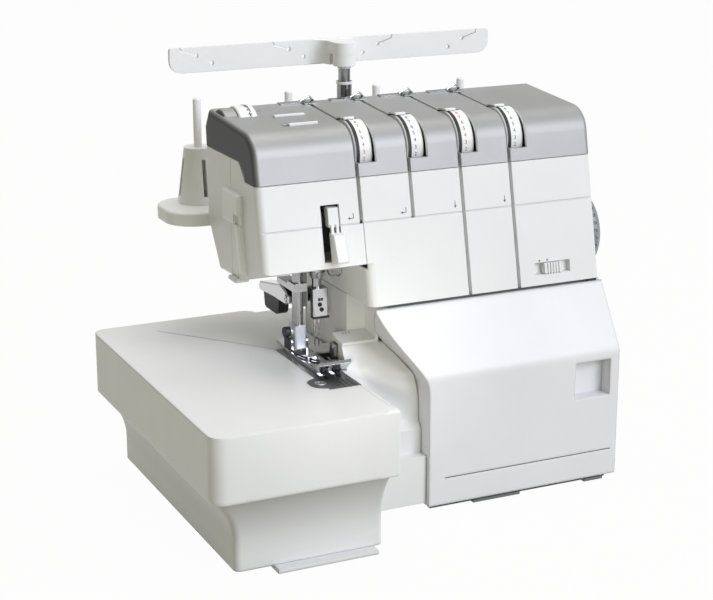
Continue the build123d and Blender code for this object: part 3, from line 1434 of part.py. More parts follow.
wheel_ribs = 36
with BuildPart() as handwheel:
    with BuildSketch(Plane((0, main_y, main_z), x_dir=(1, 0, 0), z_dir=(0, -1, 0))):
        with BuildLine():
            Polyline((wheel_x0, main_shaft_radius), (wheel_x0, wheel_radius - 2),
                     (wheel_x0 + 2, wheel_radius),
                     (wheel_x0 + 9, wheel_radius), (wheel_x1 - 1.5, wheel_radius - 4),
                     (wheel_x1, wheel_radius - 7),
                     (wheel_x1, wheel_radius - 9), (wheel_x1 - 3, wheel_radius - 12),
                     (wheel_x1 - 3, main_shaft_radius), close=True)
        make_face()
    revolve(axis=Axis((0, main_y, main_z), (1, 0, 0)))
    for i in range(wheel_ribs):
        angle = 2 * math.pi * i / wheel_ribs
        rod_x(main_y + (wheel_radius + 0.4) * math.cos(angle),
              main_z + (wheel_radius + 0.4) * math.sin(angle), 1.2,
              wheel_x0 + 2, wheel_x0 + 9, mode=Mode.SUBTRACT)
finish(handwheel, "handwheel")

# Threader lever and tightness slider on the front
stem_deep = 5.0
tab_proud = 0.5
prong_width = 2.0
prong_out = 2.6
prong_lap = 2.0
knob_right = threader_x1 - threader_side_gap
knob_left = knob_right - threader_width


def front_bar(low, high, ahead, behind, x0, x1):
    """A bar on the leaning front face from low to high, ahead of the face and behind it."""
    side_shape([(front_y(low) - ahead, low), (front_y(high) - ahead, high), (front_y(high) + behind, high),
                (front_y(low) + behind, low)], x0, x1)


with BuildPart() as threader_lever:
    side_shape([(front_y(z) - d, z) for z, d in
                ((threader_low, free_gap), (threader_low + 1.5, threader_out),
                 (threader_high, threader_top_out), (threader_high, free_gap))], knob_left, knob_right)
    fillet(threader_lever.edges().filter_by(Axis.X).sort_by(Axis.Y)[:2], 1.5)
    for x in (knob_left + 1, knob_right - 1 - prong_width):
        front_bar(threader_high - prong_lap, threader_tab_low + prong_lap, prong_out, -free_gap, x,
                  x + prong_width)
    front_bar(threader_tab_low, threader_tab_high, free_gap + tab_proud, stem_deep, knob_left, knob_right)
finish(threader_lever, "threader_lever")

slider_mid = (slider_x0 + slider_x1) / 2
slider_lift = 1.0
slider_ribs = 5
with BuildPart() as tightness_slider:
    side_shape([(front_y(z) + d, z) for z, d in
                ((slider_z0 + 0.5, -slider_lift), (slider_z1 - 0.5, -slider_lift),
                 (slider_z1 - 0.5, pocket_floor - seam), (slider_z0 + 0.5, pocket_floor - seam))],
               slider_mid - slider_knob / 2, slider_mid + slider_knob / 2)
    for i in range(slider_ribs):
        rib_x = slider_mid + (i - (slider_ribs - 1) / 2) * slider_knob / (slider_ribs + 1)
        side_shape([(front_y(z) + d, z) for z, d in
                    ((slider_z0, -slider_lift - 1), (slider_z1, -slider_lift - 1),
                     (slider_z1, -slider_lift + 0.8),
                     (slider_z0, -slider_lift + 0.8))], rib_x - 0.5, rib_x + 0.5, mode=Mode.SUBTRACT)
finish(tightness_slider, "tightness_slider")

# Right side: power inlet, switch and two dials
flange = 3.0
flange_out = 1.5
prong_radius = 1.8
with BuildPart() as power_inlet:
    y0 = inlet_y - socket_width / 2
    y1 = inlet_y + socket_width / 2
    z0 = socket_z - socket_height / 2
    z1 = socket_z + socket_height / 2
    block(body_right - socket_depth, body_right + flange_out, y0, y1, z0, z1)
    block(body_right, body_right + flange_out, y0 - flange, y1 + flange, z0 - flange, z1 + flange)
    block(body_right - socket_depth + 3, body_right + flange_out, y0 + 2, y1 - 2, z0 + 2, z1 - 2,
          mode=Mode.SUBTRACT)
    for y in (inlet_y - 6, inlet_y, inlet_y + 6):
        rod_x(y, socket_z, prong_radius, body_right - socket_depth + 2, body_right - 4)
finish(power_inlet, "power_inlet")

switch_x0 = 155.0
switch_x1 = 163.0
with BuildPart() as power_switch:
    block(switch_x0, switch_x1, switch_y - switch_width / 2, switch_y + switch_width / 2,
          socket_z - switch_height / 2, socket_z + switch_height / 2)
    outer = power_switch.faces().sort_by(Axis.X)[-1].edges()
    fillet(outer, 1)
    rod_y(switch_x1 + 14, socket_z, 15, switch_y - switch_width / 2 + 2, switch_y + switch_width / 2 - 2,
          mode=Mode.SUBTRACT)
finish(power_switch, "power_switch")

dial_flutes = 20
stem_left = 150.0


def side_dial(y, name):
    """A fluted knob on the right side with its stem."""
    with BuildPart() as dial:
        rod_x(y, side_dial_z, side_dial_radius, body_right + seam, side_dial_x1)
        chamfer(dial.faces().sort_by(Axis.X)[-1].edges(), 1.5)
        for i in range(dial_flutes):
            angle = 2 * math.pi * i / dial_flutes
            rod_x(y + (side_dial_radius + 1) * math.cos(angle),
                  side_dial_z + (side_dial_radius + 1) * math.sin(angle),
                  1.8, body_right + 3, side_dial_x1, mode=Mode.SUBTRACT)
        rod_x(y, side_dial_z, side_dial_stem, stem_left, body_right + 1)
    finish(dial, name)


side_dial(stitch_dial_y, "stitch_length_dial")
side_dial(feed_dial_y, "differential_dial")

# Extension table round the free arm
table_floor = 2.5
table_mid_y = (table_front + table_back) / 2
leg_left = table_left + leg_inset_left
leg_right = table_right - leg_inset_right
leg_front = table_front + leg_inset_front
leg_back = table_back - leg_inset_back
skirt = 3.0
pad_inset = 27.0
pad_depth = 16.0
crease_start = (-67.3, 26.0)
crease_end = (-131.7, 105.5)
crease_size = 0.8
flare_sections = 5


def leg_outline(inset, left, right, front, back):
    """The leg's rounded outline, drawn in by inset and grown by a distance on each side."""
    x0 = leg_left + inset - left
    x1 = leg_right - inset + right
    y0 = leg_front + inset - front
    y1 = leg_back - inset + back
    with Locations(((x0 + x1) / 2, (y0 + y1) / 2)):
        RectangleRounded(x1 - x0, y1 - y0, table_corner - inset)


def leg_shape(inset, z0, z1, mode=Mode.ADD):
    """The leg drawn in by inset, from z0 to z1."""
    with BuildSketch(Plane.XY.offset(z0)) as outline:
        leg_outline(inset, 0, 0, 0, 0)
    extrude(outline.sketch, amount=z1 - z0, mode=mode)


with BuildPart() as leg_flare:
    for i in range(flare_sections + 1):
        share = i / flare_sections
        spread = [(inset - table_edge - 0.5) * share ** 2 for inset in
                  (leg_inset_left, leg_inset_right, leg_inset_front, leg_inset_back)]
        with BuildSketch(Plane.XY.offset(table_low - leg_flare_height * (1 - share))):
            leg_outline(0, *spread)
    loft()
    leg_shape(skirt, leg_low, table_low, mode=Mode.SUBTRACT)

with BuildPart() as extension_table:
    with BuildSketch(Plane.XY.offset(table_low)):
        with Locations(((table_left + table_right) / 2, table_mid_y)):
            RectangleRounded(table_right - table_left, table_back - table_front, table_corner)
    extrude(amount=plate_top - table_low)
    fillet(extension_table.faces().sort_by(Axis.Z)[0].edges(), table_edge)
    block(table_right - 12, wing_right, wing_front, table_back - 8, plate_top - table_wall, plate_top)
    leg_shape(0, leg_low, table_low + table_floor / 2)
    add(leg_flare.part)
    with BuildSketch(Plane.XY.offset(table_low + table_floor)):
        with Locations(((table_left + table_right) / 2, table_mid_y)):
            RectangleRounded(table_right - table_left - 2 * table_wall,
                             table_back - table_front - 2 * table_wall, table_corner - table_wall)
    extrude(amount=plate_top - table_low - table_floor - table_wall, mode=Mode.SUBTRACT)
    leg_shape(skirt, leg_low - 1, table_low, mode=Mode.SUBTRACT)
    block(table_right - 2 * table_wall, table_right + 1, arm_front - 4, arm_back + 6, table_low + table_floor,
          plate_top - table_wall, mode=Mode.SUBTRACT)
    block(plate_left - seam, table_right + 1, plate_front - seam, plate_back + seam, plate_low - 2,
          plate_top + 1, mode=Mode.SUBTRACT)
    lobe_shape(seam, plate_low - 2, plate_top + 1, mode=Mode.SUBTRACT)
    block(table_right - 4, table_right + 1, lower_looper_y - 5, lower_looper_y + 5, table_low - 1,
          table_low + table_floor + 1, mode=Mode.SUBTRACT)
    crease_dx = crease_end[0] - crease_start[0]
    crease_dy = crease_end[1] - crease_start[1]
    crease_angle = math.degrees(math.atan2(crease_dy, crease_dx))
    crease_mid = ((crease_start[0] + crease_end[0]) / 2, (crease_start[1] + crease_end[1]) / 2, plate_top)
    with Locations(Location(crease_mid, (0, 0, crease_angle))):
        Box(math.hypot(crease_dx, crease_dy), crease_size, crease_size, mode=Mode.SUBTRACT)
    for y in (leg_front - pad_depth / 2, leg_back - pad_depth / 2):
        block(leg_left + pad_inset, leg_right - 1, y, y + pad_depth, 0, leg_low)
finish(extension_table, "extension_table")

# Spool stand with cone holders, pins and the telescopic mast
stand_edge = 2.0
with BuildPart() as spool_stand:
    with BuildSketch(Plane.XY.offset(stand_low)):
        with Locations(((stand_left + stand_right) / 2, (body_back + stand_back) / 2)):
            RectangleRounded(stand_right - stand_left, stand_back - body_back, stand_corner)
    extrude(amount=stand_top - stand_low)
    fillet(spool_stand.faces().sort_by(Axis.Z)[-1].edges(), stand_edge)
    with BuildSketch(Plane.XY.offset(stand_low)):
        with Locations(((stand_left + stand_right) / 2, (body_back + stand_back) / 2)):
            RectangleRounded(stand_right - stand_left - 2 * wall, stand_back - body_back - 2 * wall,
                             stand_corner - wall)
    extrude(amount=stand_top - stand_low - wall, mode=Mode.SUBTRACT)
    for x in spool_xs:
        rod_z(x, spool_y, spool_pin, stand_top - 2 * wall, stand_top, mode=Mode.SUBTRACT)
finish(spool_stand, "spool_stand")

with BuildPart() as cone_holders:
    for x in spool_xs:
        with Locations((x, spool_y, stand_top + cone_height / 2)):
            Cone(cone_low_radius, cone_top_radius, cone_height)
    for x in spool_xs:
        with Locations((x, spool_y, stand_top + cone_height / 2 - cone_wall)):
            Cone(cone_low_radius - cone_wall, cone_top_radius - cone_wall, cone_height, mode=Mode.SUBTRACT)
        rod_z(x, spool_y, spool_pin, cone_top - 2 * cone_wall, cone_top, mode=Mode.SUBTRACT)
        block(x - cone_slit / 2, x + cone_slit / 2, spool_y - 20, spool_y + 20, stand_top + 6, cone_top - 8,
              mode=Mode.SUBTRACT)
        block(x - 20, x + 20, spool_y - cone_slit / 2, spool_y + cone_slit / 2, stand_top + 6, cone_top - 8,
              mode=Mode.SUBTRACT)
finish(cone_holders, "cone_holders")

with BuildPart() as spool_pins:
    for x in spool_xs:
        rod_z(x, spool_y, spool_pin, stand_top - wall, spool_pin_top)
    fillet(spool_pins.edges().filter_by_position(Axis.Z, spool_pin_top - 0.1, spool_pin_top + 0.1), 1.5)
finish(spool_pins, "spool_pins")

with BuildPart() as mast_base:
    rod_z(mast_x, mast_y, mast_tube, stand_top, mast_tube_top)
    rod_z(mast_x, mast_y, mast_tube + 3, stand_top, stand_top + 5)
    rod_z(mast_x, mast_y, mast_rod + run_fit, stand_top + 2, mast_tube_top, mode=Mode.SUBTRACT)
finish(mast_base, "mast_base")

with BuildPart() as mast_top:
    rod_z(mast_x, mast_y, mast_rod, mast_rod_low, mast_rod_top)
finish(mast_top, "mast_top")

bar_y0 = spool_y - bar_thick / 2
bar_y1 = spool_y + bar_thick / 2
bar_hole_high = bar_high - bar_hole_drop
bar_hole_low = bar_low + bar_hole_drop
slit_turn_z = bar_high - bar_slit_fall
blend_mid = hub_blend * (1 - math.sqrt(0.5))


def hub_arm():
    """The arm from the hub to the bar, spread by a round on each side where it meets the bar."""
    with BuildSketch(Plane.XY.offset(hub_low)) as outline:
        with BuildLine():
            near = bar_y0 - hub_blend
            for side in (-1, 1):
                edge = mast_x + side * hub_arm_half
                ThreePointArc((edge, near), (edge + side * blend_mid, bar_y0 - blend_mid),
                              (edge + side * hub_blend, bar_y0))
                Polyline((edge + side * hub_blend, bar_y0), (edge + side * hub_blend, bar_y1),
                         (mast_x, bar_y1))
                Polyline((edge, near), (edge, mast_y), (mast_x, mast_y))
        make_face()
    extrude(outline.sketch, amount=hub_high - hub_low)


with BuildPart() as guide_bar:
    block(bar_left, bar_right, bar_y0, bar_y1, bar_low, bar_high)
    uprights = guide_bar.edges().filter_by(Axis.Y)
    fillet([e for e in uprights if e.center().Z < bar_low + 0.1], bar_corner)
    fillet([e for e in uprights if e.center().Z > bar_high - 0.1], bar_top_corner)
    for x in spool_xs:
        outward = -1 if x < mast_x else 1
        rod_y(x, bar_hole_high, bar_hole, bar_y0, bar_y1, mode=Mode.SUBTRACT)
        turn_x = x + outward * (bar_slit_reach - 1)
        end_x = x + outward * bar_slit_reach
        front_shape([(x, bar_hole_high - bar_slit / 2), (turn_x, slit_turn_z - bar_slit / 2),
                     (end_x + outward * bar_slit / 2, bar_high + 1),
                     (end_x - outward * bar_slit / 2, bar_high + 1),
                     (turn_x - outward * bar_slit, slit_turn_z + bar_slit / 2),
                     (x, bar_hole_high + bar_slit / 2)],
                    bar_y0, bar_y1, mode=Mode.SUBTRACT)
        rod_y(x - outward * bar_hole_step, bar_hole_low, bar_hole, bar_y0, bar_y1, mode=Mode.SUBTRACT)
    rod_z(mast_x, mast_y, hub_radius, hub_low, hub_high)
    hub_arm()
    rod_z(mast_x, mast_y, mast_rod + run_fit, hub_low, mast_rod_top + 0.1, mode=Mode.SUBTRACT)
finish(guide_bar, "guide_bar")
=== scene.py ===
# %% [markdown]
# # An overlock sewing machine, dressed from its CAD frame
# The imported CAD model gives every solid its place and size, in metres. This lesson adds what CAD
# leaves out: finishes, printed marks, screws, trim and a few mouldings. Nothing here moves a CAD piece.

# %% Load the frame
import math

import bmesh
import bpy
from mathutils import Matrix, Vector


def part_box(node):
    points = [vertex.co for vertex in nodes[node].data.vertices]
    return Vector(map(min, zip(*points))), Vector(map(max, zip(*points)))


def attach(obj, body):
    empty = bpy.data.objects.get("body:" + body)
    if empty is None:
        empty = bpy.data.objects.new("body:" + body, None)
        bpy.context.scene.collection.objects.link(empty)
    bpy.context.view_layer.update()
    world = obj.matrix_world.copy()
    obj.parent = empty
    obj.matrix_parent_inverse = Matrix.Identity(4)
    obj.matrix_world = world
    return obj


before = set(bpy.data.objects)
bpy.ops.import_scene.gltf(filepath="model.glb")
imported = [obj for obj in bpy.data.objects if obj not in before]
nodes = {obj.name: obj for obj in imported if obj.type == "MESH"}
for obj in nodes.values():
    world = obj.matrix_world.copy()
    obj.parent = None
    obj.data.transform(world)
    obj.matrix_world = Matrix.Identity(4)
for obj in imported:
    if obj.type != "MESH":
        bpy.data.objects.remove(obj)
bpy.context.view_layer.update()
mm = 0.001

# %% [markdown]
# ## A shared recipe for materials
# Every finish starts from the same small graph: object coordinates feed a broad noise that shifts the
# colour a little, and a fine noise that makes grain. One helper builds it, so like mouldings look alike.
# The Bevel node rounds the sharp CAD edges for the light only.

# %% Finish helper
def add_node(tree, kind, **values):
    """Add a shader node and set its inputs by name."""
    node = tree.nodes.new(kind)
    for key, value in values.items():
        node.inputs[key].default_value = value
    return node


def join(tree, source, output, target, entry):
    """Link one node's output to another's input, both by name."""
    tree.links.new(source.outputs[output], target.inputs[entry])


def finish(name, dark, light, rough=(0.3, 0.45), grain=0.00002, grain_scale=900.0, patch_scale=14.0,
           metal=0.0, edge=0.0006, stretch=(1.0, 1.0, 1.0), coat=0.0):
    """A procedural finish: two close colours, varied roughness, fine grain and softened edges."""
    material = bpy.data.materials.new(name)
    material.use_nodes = True
    tree = material.node_tree
    shader = tree.nodes["Principled BSDF"]
    shader.inputs["Metallic"].default_value = metal
    shader.inputs["Coat Weight"].default_value = coat
    coords = tree.nodes.new("ShaderNodeTexCoord")
    place = add_node(tree, "ShaderNodeMapping", Scale=stretch)
    join(tree, coords, "Object", place, "Vector")
    patches = add_node(tree, "ShaderNodeTexNoise", Scale=patch_scale, Detail=4.0, Roughness=0.55)
    join(tree, place, "Vector", patches, "Vector")
    ramp = tree.nodes.new("ShaderNodeValToRGB")
    low, high = ramp.color_ramp.elements
    low.position = 0.3
    high.position = 0.7
    low.color = (*dark, 1.0)
    high.color = (*light, 1.0)
    join(tree, patches, "Fac", ramp, "Fac")
    join(tree, ramp, "Color", shader, "Base Color")
    fine = add_node(tree, "ShaderNodeTexNoise", Scale=grain_scale, Detail=3.0, Roughness=0.6)
    join(tree, place, "Vector", fine, "Vector")
    spread = add_node(tree, "ShaderNodeMapRange", **{"To Min": rough[0], "To Max": rough[1]})
    join(tree, fine, "Fac", spread, "Value")
    join(tree, spread, "Result", shader, "Roughness")
    bump = add_node(tree, "ShaderNodeBump", Strength=0.6, Distance=grain)
    join(tree, fine, "Fac", bump, "Height")
    if edge > 0:
        soften = add_node(tree, "ShaderNodeBevel", Radius=edge)
        soften.samples = 6
        join(tree, soften, "Normal", bump, "Normal")
    join(tree, bump, "Normal", shader, "Normal")
    return material


print("finish helper ready")

# %% [markdown]
# ## Painted shade and light that change over a piece
# The silver lid is dark on its left end, painted shade where the paint turns from the light, and pale on
# the walls further inside, painted light. The table's leg gets painted shade under its block. A factor on
# the colour keeps the lamps few.

# %% Painted shade and light helpers
def spread_value(tree, value, low, high, first=0.0, last=1.0):
    """Stretch a value so that low becomes first and high becomes last."""
    ends = {"From Min": low, "From Max": high, "To Min": first, "To Max": last}
    stretch = add_node(tree, "ShaderNodeMapRange", **ends)
    tree.links.new(value, stretch.inputs["Value"])
    return stretch.outputs["Result"]


def along_side(tree, vector, side):
    """How far a vector reaches towards one side."""
    reach = tree.nodes.new("ShaderNodeVectorMath")
    reach.operation = "DOT_PRODUCT"
    reach.inputs[1].default_value = side
    tree.links.new(vector, reach.inputs[0])
    return reach.outputs["Value"]


def scale_colour(material, factor):
    """Multiply a finish's colour by a value that changes over the piece, to paint shade or light into it.
    """
    tree = material.node_tree
    colour = tree.nodes["Principled BSDF"].inputs["Base Color"]
    scale = tree.nodes.new("ShaderNodeVectorMath")
    scale.operation = "SCALE"
    tree.links.new(colour.links[0].from_socket, scale.inputs[0])
    tree.links.new(factor, scale.inputs["Scale"])
    tree.links.new(scale.outputs["Vector"], colour)


def shade_end(material, side, start, depth, inside, grazing=0.25, soft=0.005):
    """Paint shade on what faces one side: dark on the end itself, and painted light, pale, on the walls
    further inside.
    """
    tree = material.node_tree
    surface = tree.nodes.new("ShaderNodeNewGeometry")
    coords = tree.nodes.new("ShaderNodeTexCoord")
    place = along_side(tree, coords.outputs["Object"], side)
    level = spread_value(tree, place, start - soft, start, inside, depth)
    fade = add_node(tree, "ShaderNodeMapRange", **{"From Min": grazing, "To Min": 1.0})
    tree.links.new(along_side(tree, surface.outputs["Normal"], side), fade.inputs["Value"])
    tree.links.new(level, fade.inputs["To Max"])
    scale_colour(material, fade.outputs["Result"])


def shade_top(material, top, reach, level):
    """Paint shade on a moulding towards its top, where an overhang keeps the light away."""
    tree = material.node_tree
    coords = tree.nodes.new("ShaderNodeTexCoord")
    height = along_side(tree, coords.outputs["Object"], (0.0, 0.0, 1.0))
    scale_colour(material, spread_value(tree, height, top - reach, top, 1.0, level))


print("shade helpers ready")

# %% [markdown]
# ## The finishes
# White plastic, silver paint, chrome, ground steel: each is one call of the recipe, with a dark and a light
# colour close together.

# %% Mouldings and paint
soft_edge = 0.0025
crisp_edge = 0.0003
white_pair = ((0.8, 0.8, 0.8), (0.84, 0.84, 0.84))
white_moulding = finish("white_moulding", *white_pair)
soft_moulding = finish("soft_moulding", *white_pair, edge=soft_edge)
cover_moulding = finish("cover_moulding", (0.79, 0.79, 0.81), (0.83, 0.83, 0.85), edge=soft_edge)
# The leg's copy of the white moulding carries painted shade under the table's block.
leg_painted_shade_moulding = finish("leg_painted_shade_moulding", *white_pair, edge=soft_edge)
shade_top(leg_painted_shade_moulding, top=0.058, reach=0.045, level=0.62)
silver_paint = finish("silver_paint", (0.375, 0.375, 0.375), (0.425, 0.425, 0.427), rough=(0.45, 0.57),
                      metal=0.6, grain_scale=2200.0, grain=0.000012)
# Painted shade on the lid's left end and painted light on the walls of its windows further inside.
shade_end(silver_paint, side=(-1.0, 0.0, 0.0), start=0.095, depth=0.1, inside=2.3)
# A paler copy of the white moulding: painted light for parts that the lamps reach too little.
painted_light_moulding = finish("painted_light_moulding", (0.89, 0.89, 0.89), (0.93, 0.93, 0.93))
dial_moulding = finish("dial_moulding", (0.86, 0.86, 0.85), (0.9, 0.9, 0.895), rough=(0.3, 0.4),
                       edge=crisp_edge)
# Dark grey, partly the tray's own colour and partly painted shadow along the foot of the covers.
tray_and_shadow_moulding = finish("tray_and_shadow_moulding", (0.2, 0.2, 0.205), (0.25, 0.25, 0.255), rough=(0.45, 0.6))
pale_moulding = finish("pale_moulding", (0.6, 0.605, 0.6), (0.66, 0.665, 0.66), rough=(0.4, 0.55))
black_moulding = finish("black_moulding", (0.012, 0.012, 0.013), (0.025, 0.025, 0.027), rough=(0.45, 0.6),
                        grain=0.00004)
print("mouldings and paint:", len(bpy.data.materials))

# %% Metals, rubber and enamel
polished_steel = finish("polished_steel", (0.5, 0.5, 0.51), (0.6, 0.6, 0.61), rough=(0.06, 0.16), metal=1.0,
                        edge=crisp_edge, grain=0.000003)
dark_chrome = finish("dark_chrome", (0.2, 0.2, 0.205), (0.3, 0.3, 0.305), rough=(0.08, 0.2), metal=1.0,
                     edge=crisp_edge, stretch=(1.0, 1.0, 8.0), grain=0.000003)
clip_steel = finish("clip_steel", (0.3, 0.3, 0.305), (0.4, 0.4, 0.405), rough=(0.1, 0.22), metal=1.0,
                    edge=crisp_edge, grain=0.000003)
shank_steel = finish("shank_steel", (0.6, 0.62, 0.7), (0.7, 0.72, 0.8), rough=(0.25, 0.4), metal=0.5,
                     edge=crisp_edge, grain=0.000004)
ground_steel = finish("ground_steel", (0.42, 0.42, 0.43), (0.54, 0.54, 0.55), rough=(0.22, 0.42), metal=1.0,
                      edge=crisp_edge, stretch=(1.0, 1.0, 12.0), grain=0.000006)
dark_plate = finish("dark_plate", (0.17, 0.17, 0.175), (0.24, 0.24, 0.245), rough=(0.22, 0.4), metal=1.0,
                    edge=0.0002, stretch=(6.0, 1.0, 1.0), grain=0.000005)
die_casting = finish("die_casting", (0.42, 0.42, 0.42), (0.55, 0.55, 0.55), rough=(0.4, 0.62), metal=0.9,
                     grain=0.00006, grain_scale=500.0)
moulded_rubber = finish("moulded_rubber", (0.02, 0.02, 0.02), (0.035, 0.035, 0.035), rough=(0.7, 0.9),
                        grain=0.00008)
black_enamel = finish("black_enamel", (0.018, 0.018, 0.02), (0.03, 0.03, 0.032), rough=(0.2, 0.35),
                      coat=0.4)
wheel_moulding = finish("wheel_moulding", (0.22, 0.22, 0.225), (0.28, 0.28, 0.285), rough=(0.35, 0.5),
                        metal=0.3)
print("finishes:", len(bpy.data.materials))

# %% [markdown]
# ## Dress the CAD nodes
# A CAD node keeps its mesh, so only its material slot changes. The list follows the real object.

# %% Give every CAD node its finish
dress = {
    white_moulding: ["face_cover", "front_cover", "rear_cover", "side_cover", "bed_housing",
                     "cloth_guide", "threader_lever", "tightness_slider"],
    painted_light_moulding: ["spool_stand", "cone_holders", "spool_pins", "guide_bar", "thread_cutter"],
    soft_moulding: ["extension_table"],
    cover_moulding: ["looper_cover"],
    silver_paint: ["top_cover"],
    dial_moulding: ["tension_dial_1", "tension_dial_2", "tension_dial_3", "tension_dial_4",
                    "pressure_dial"],
    tray_and_shadow_moulding: ["base_tray"],
    pale_moulding: ["looper_bulkhead", "stitch_length_dial", "differential_dial"],
    black_moulding: ["power_inlet", "power_switch", "shaft_pulley", "lifter_grip"],
    polished_steel: ["tension_discs", "needle_clamp", "needles", "presser_foot",
                     "lifter_lever", "upper_looper", "lower_looper"],
    dark_chrome: ["mast_base", "mast_top"],
    clip_steel: ["thread_guides", "needle_bar", "presser_bar"],
    shank_steel: ["foot_holder"],
    ground_steel: ["tension_bracket", "lower_knife", "bar_bushings", "pressure_spring", "main_shaft",
                   "motor_pulley", "presser_collar", "upper_knife", "feed_dog_main", "feed_dog_diff"],
    dark_plate: ["needle_plate"],
    die_casting: ["bed_casting", "frame_casting", "needle_rocker"],
    moulded_rubber: ["rubber_feet", "drive_belt"],
    black_enamel: ["motor"],
    wheel_moulding: ["handwheel"],
}
for material, names in dress.items():
    for name in names:
        mesh = nodes[name].data
        mesh.materials.clear()
        mesh.materials.append(material)
print("dressed:", sum(len(names) for names in dress.values()))

# %% [markdown]
# ## Small pieces and how they ride
# Each added piece is a mesh already in its place, tied to the CAD body it moves with and given its
# finish. One helper does the three steps, so none is forgotten.

# %% Piece helpers
def link_piece(name, mesh, material, body):
    """Make a mesh into a piece that rides on a body."""
    mesh.materials.clear()
    mesh.materials.append(material)
    made = bpy.data.objects.new(name, mesh)
    bpy.context.collection.objects.link(made)
    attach(made, body)


def to_mesh(name, builder, smooth=False):
    """Close a bmesh, turn its faces outwards, and shade its gentle turns smooth if asked."""
    bmesh.ops.remove_doubles(builder, verts=builder.verts, dist=1e-7)
    bmesh.ops.recalc_face_normals(builder, faces=builder.faces)
    mesh = bpy.data.meshes.new(name)
    builder.to_mesh(mesh)
    builder.free()
    if smooth:
        mesh.shade_smooth()
        mesh.set_sharp_from_angle(angle=math.radians(35))
    return mesh


def build_piece(name, builder, material, body, smooth=False):
    """Close a bmesh and make it into a piece that rides on a body."""
    link_piece(name, to_mesh(name, builder, smooth), material, body)


print("piece helpers ready")

# %% [markdown]
# ## Plain shapes
# The trim is made of flat plates, rounded blocks, skins over outlines, and bent wire. Modifiers on cubes
# could give most of them, but a bmesh draws each exactly in its place.

# %% Shape helpers
def add_prism(builder, outline, base, right, up, out, depth, sink=0.0):
    """Add a flat plate: its outline is drawn in (right, up) millimetres and lifted along out."""
    low = [builder.verts.new(base + (right * a + up * b - out * sink) * mm) for a, b in outline]
    high = [builder.verts.new(base + (right * a + up * b + out * depth) * mm) for a, b in outline]
    builder.faces.new(low[::-1])
    builder.faces.new(high)
    count = len(outline)
    for i in range(count):
        j = (i + 1) % count
        builder.faces.new((low[i], low[j], high[j], high[i]))


def soft_block(builder, low, high, round_by):
    """Add a box between two corners, in millimetres, with rounded edges."""
    made = bmesh.ops.create_cube(builder, size=1.0)
    size = [(b - a) * mm for a, b in zip(low, high)]
    centre = [(a + b) * mm / 2 for a, b in zip(low, high)]
    bmesh.ops.scale(builder, vec=size, verts=made["verts"])
    bmesh.ops.translate(builder, vec=centre, verts=made["verts"])
    edges = list({edge for vert in made["verts"] for edge in vert.link_edges})
    bmesh.ops.bevel(builder, geom=edges, offset=round_by * mm, segments=3, profile=0.5, affect="EDGES")


def block_piece(name, blocks, material, body):
    """A piece of rounded blocks, each given by two corners and a rounding, in millimetres."""
    builder = bmesh.new()
    for low, high, round_by in blocks:
        soft_block(builder, low, high, round_by)
    build_piece(name, builder, material, body)


def circle_outline(radius, count=20):
    """Points of a circle, for plates and dots."""
    return [(radius * math.cos(2 * math.pi * i / count), radius * math.sin(2 * math.pi * i / count))
            for i in range(count)]


def add_skin(builder, sections, ring=False):
    """Join closed outlines, in millimetres, into a skin with two ends, or into a ring without ends."""
    loops = [[builder.verts.new(Vector(p) * mm) for p in section] for section in sections]
    count = len(loops[0])
    for near, far in zip(loops, loops[1:] + loops[:1] if ring else loops[1:]):
        for i in range(count):
            j = (i + 1) % count
            builder.faces.new((near[i], near[j], far[j], far[i]))
    if not ring:
        builder.faces.new(loops[0][::-1])
        builder.faces.new(loops[-1])


def add_wire(builder, points, radius, sides=8):
    """Add a round wire through points given in millimetres."""
    path = [Vector(p) for p in points]
    rings = []
    side = None
    for i, spot in enumerate(path):
        along = (path[min(i + 1, len(path) - 1)] - path[max(i - 1, 0)]).normalized()
        side = along.orthogonal() if side is None else side - along * side.dot(along)
        side.normalize()
        up = along.cross(side)
        turns = [2 * math.pi * k / sides for k in range(sides)]
        rings.append([spot + (side * math.cos(t) + up * math.sin(t)) * radius for t in turns])
    add_skin(builder, rings)


def box_mm(name):
    """A CAD node's two corners, in millimetres."""
    return [[value / mm for value in corner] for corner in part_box(name)]


x_axis = Vector((1, 0, 0))
y_axis = Vector((0, 1, 0))
z_axis = Vector((0, 0, 1))
print("shape helpers ready")

# %% [markdown]
# ## Screws
# The covers, the plate and the needle clamp are held by screws. One head with its recess is lathed in a
# bmesh, and Geometry Nodes sets a copy on each point, because the copies differ only in place and turn.

# %% One screw head
cross_arm = 0.26
head_sides = 48
head_profile = ((1.0, 0.0), (1.0, 0.45), (0.9, 0.8), (0.72, 1.0))


def hex_recess(angle, size):
    """Distance from the middle to a hexagon's side."""
    turn = (angle % (math.pi / 3)) - math.pi / 6
    return size / math.cos(turn)


def cross_recess(angle, size):
    """Distance from the middle to the edge of a cross."""
    half = size * cross_arm
    side = abs(math.cos(angle)) + 1e-9
    rise = abs(math.sin(angle)) + 1e-9
    return max(min(size / side, half / rise), min(size / rise, half / side))


def screw_head(name, radius, height, recess, size, sink):
    """A domed head about the Z axis, sitting on z = 0, with a sunk recess."""
    builder = bmesh.new()
    angles = [2 * math.pi * i / head_sides for i in range(head_sides)]
    rings = []
    for scale, rise in head_profile:
        rings.append([(radius * scale * math.cos(a), radius * scale * math.sin(a), height * rise)
                      for a in angles])
    for z in (height, height - sink):
        rings.append([(recess(a, size) * math.cos(a), recess(a, size) * math.sin(a), z) for a in angles])
    add_skin(builder, rings)
    return bpy.data.objects.new(name, to_mesh(name, builder))


cover_screw = screw_head("cover_screw", radius=3.0, height=1.2, recess=cross_recess, size=1.5, sink=0.9)
set_screw = screw_head("set_screw", radius=1.6, height=0.7, recess=hex_recess, size=0.75, sink=0.6)
plate_screw = screw_head("plate_screw", radius=4.2, height=0.8, recess=cross_recess, size=1.9, sink=0.7)
pivot_screw = screw_head("pivot_screw", radius=2.6, height=0.9, recess=cross_recess, size=1.3, sink=0.6)
print("screw heads: 4")

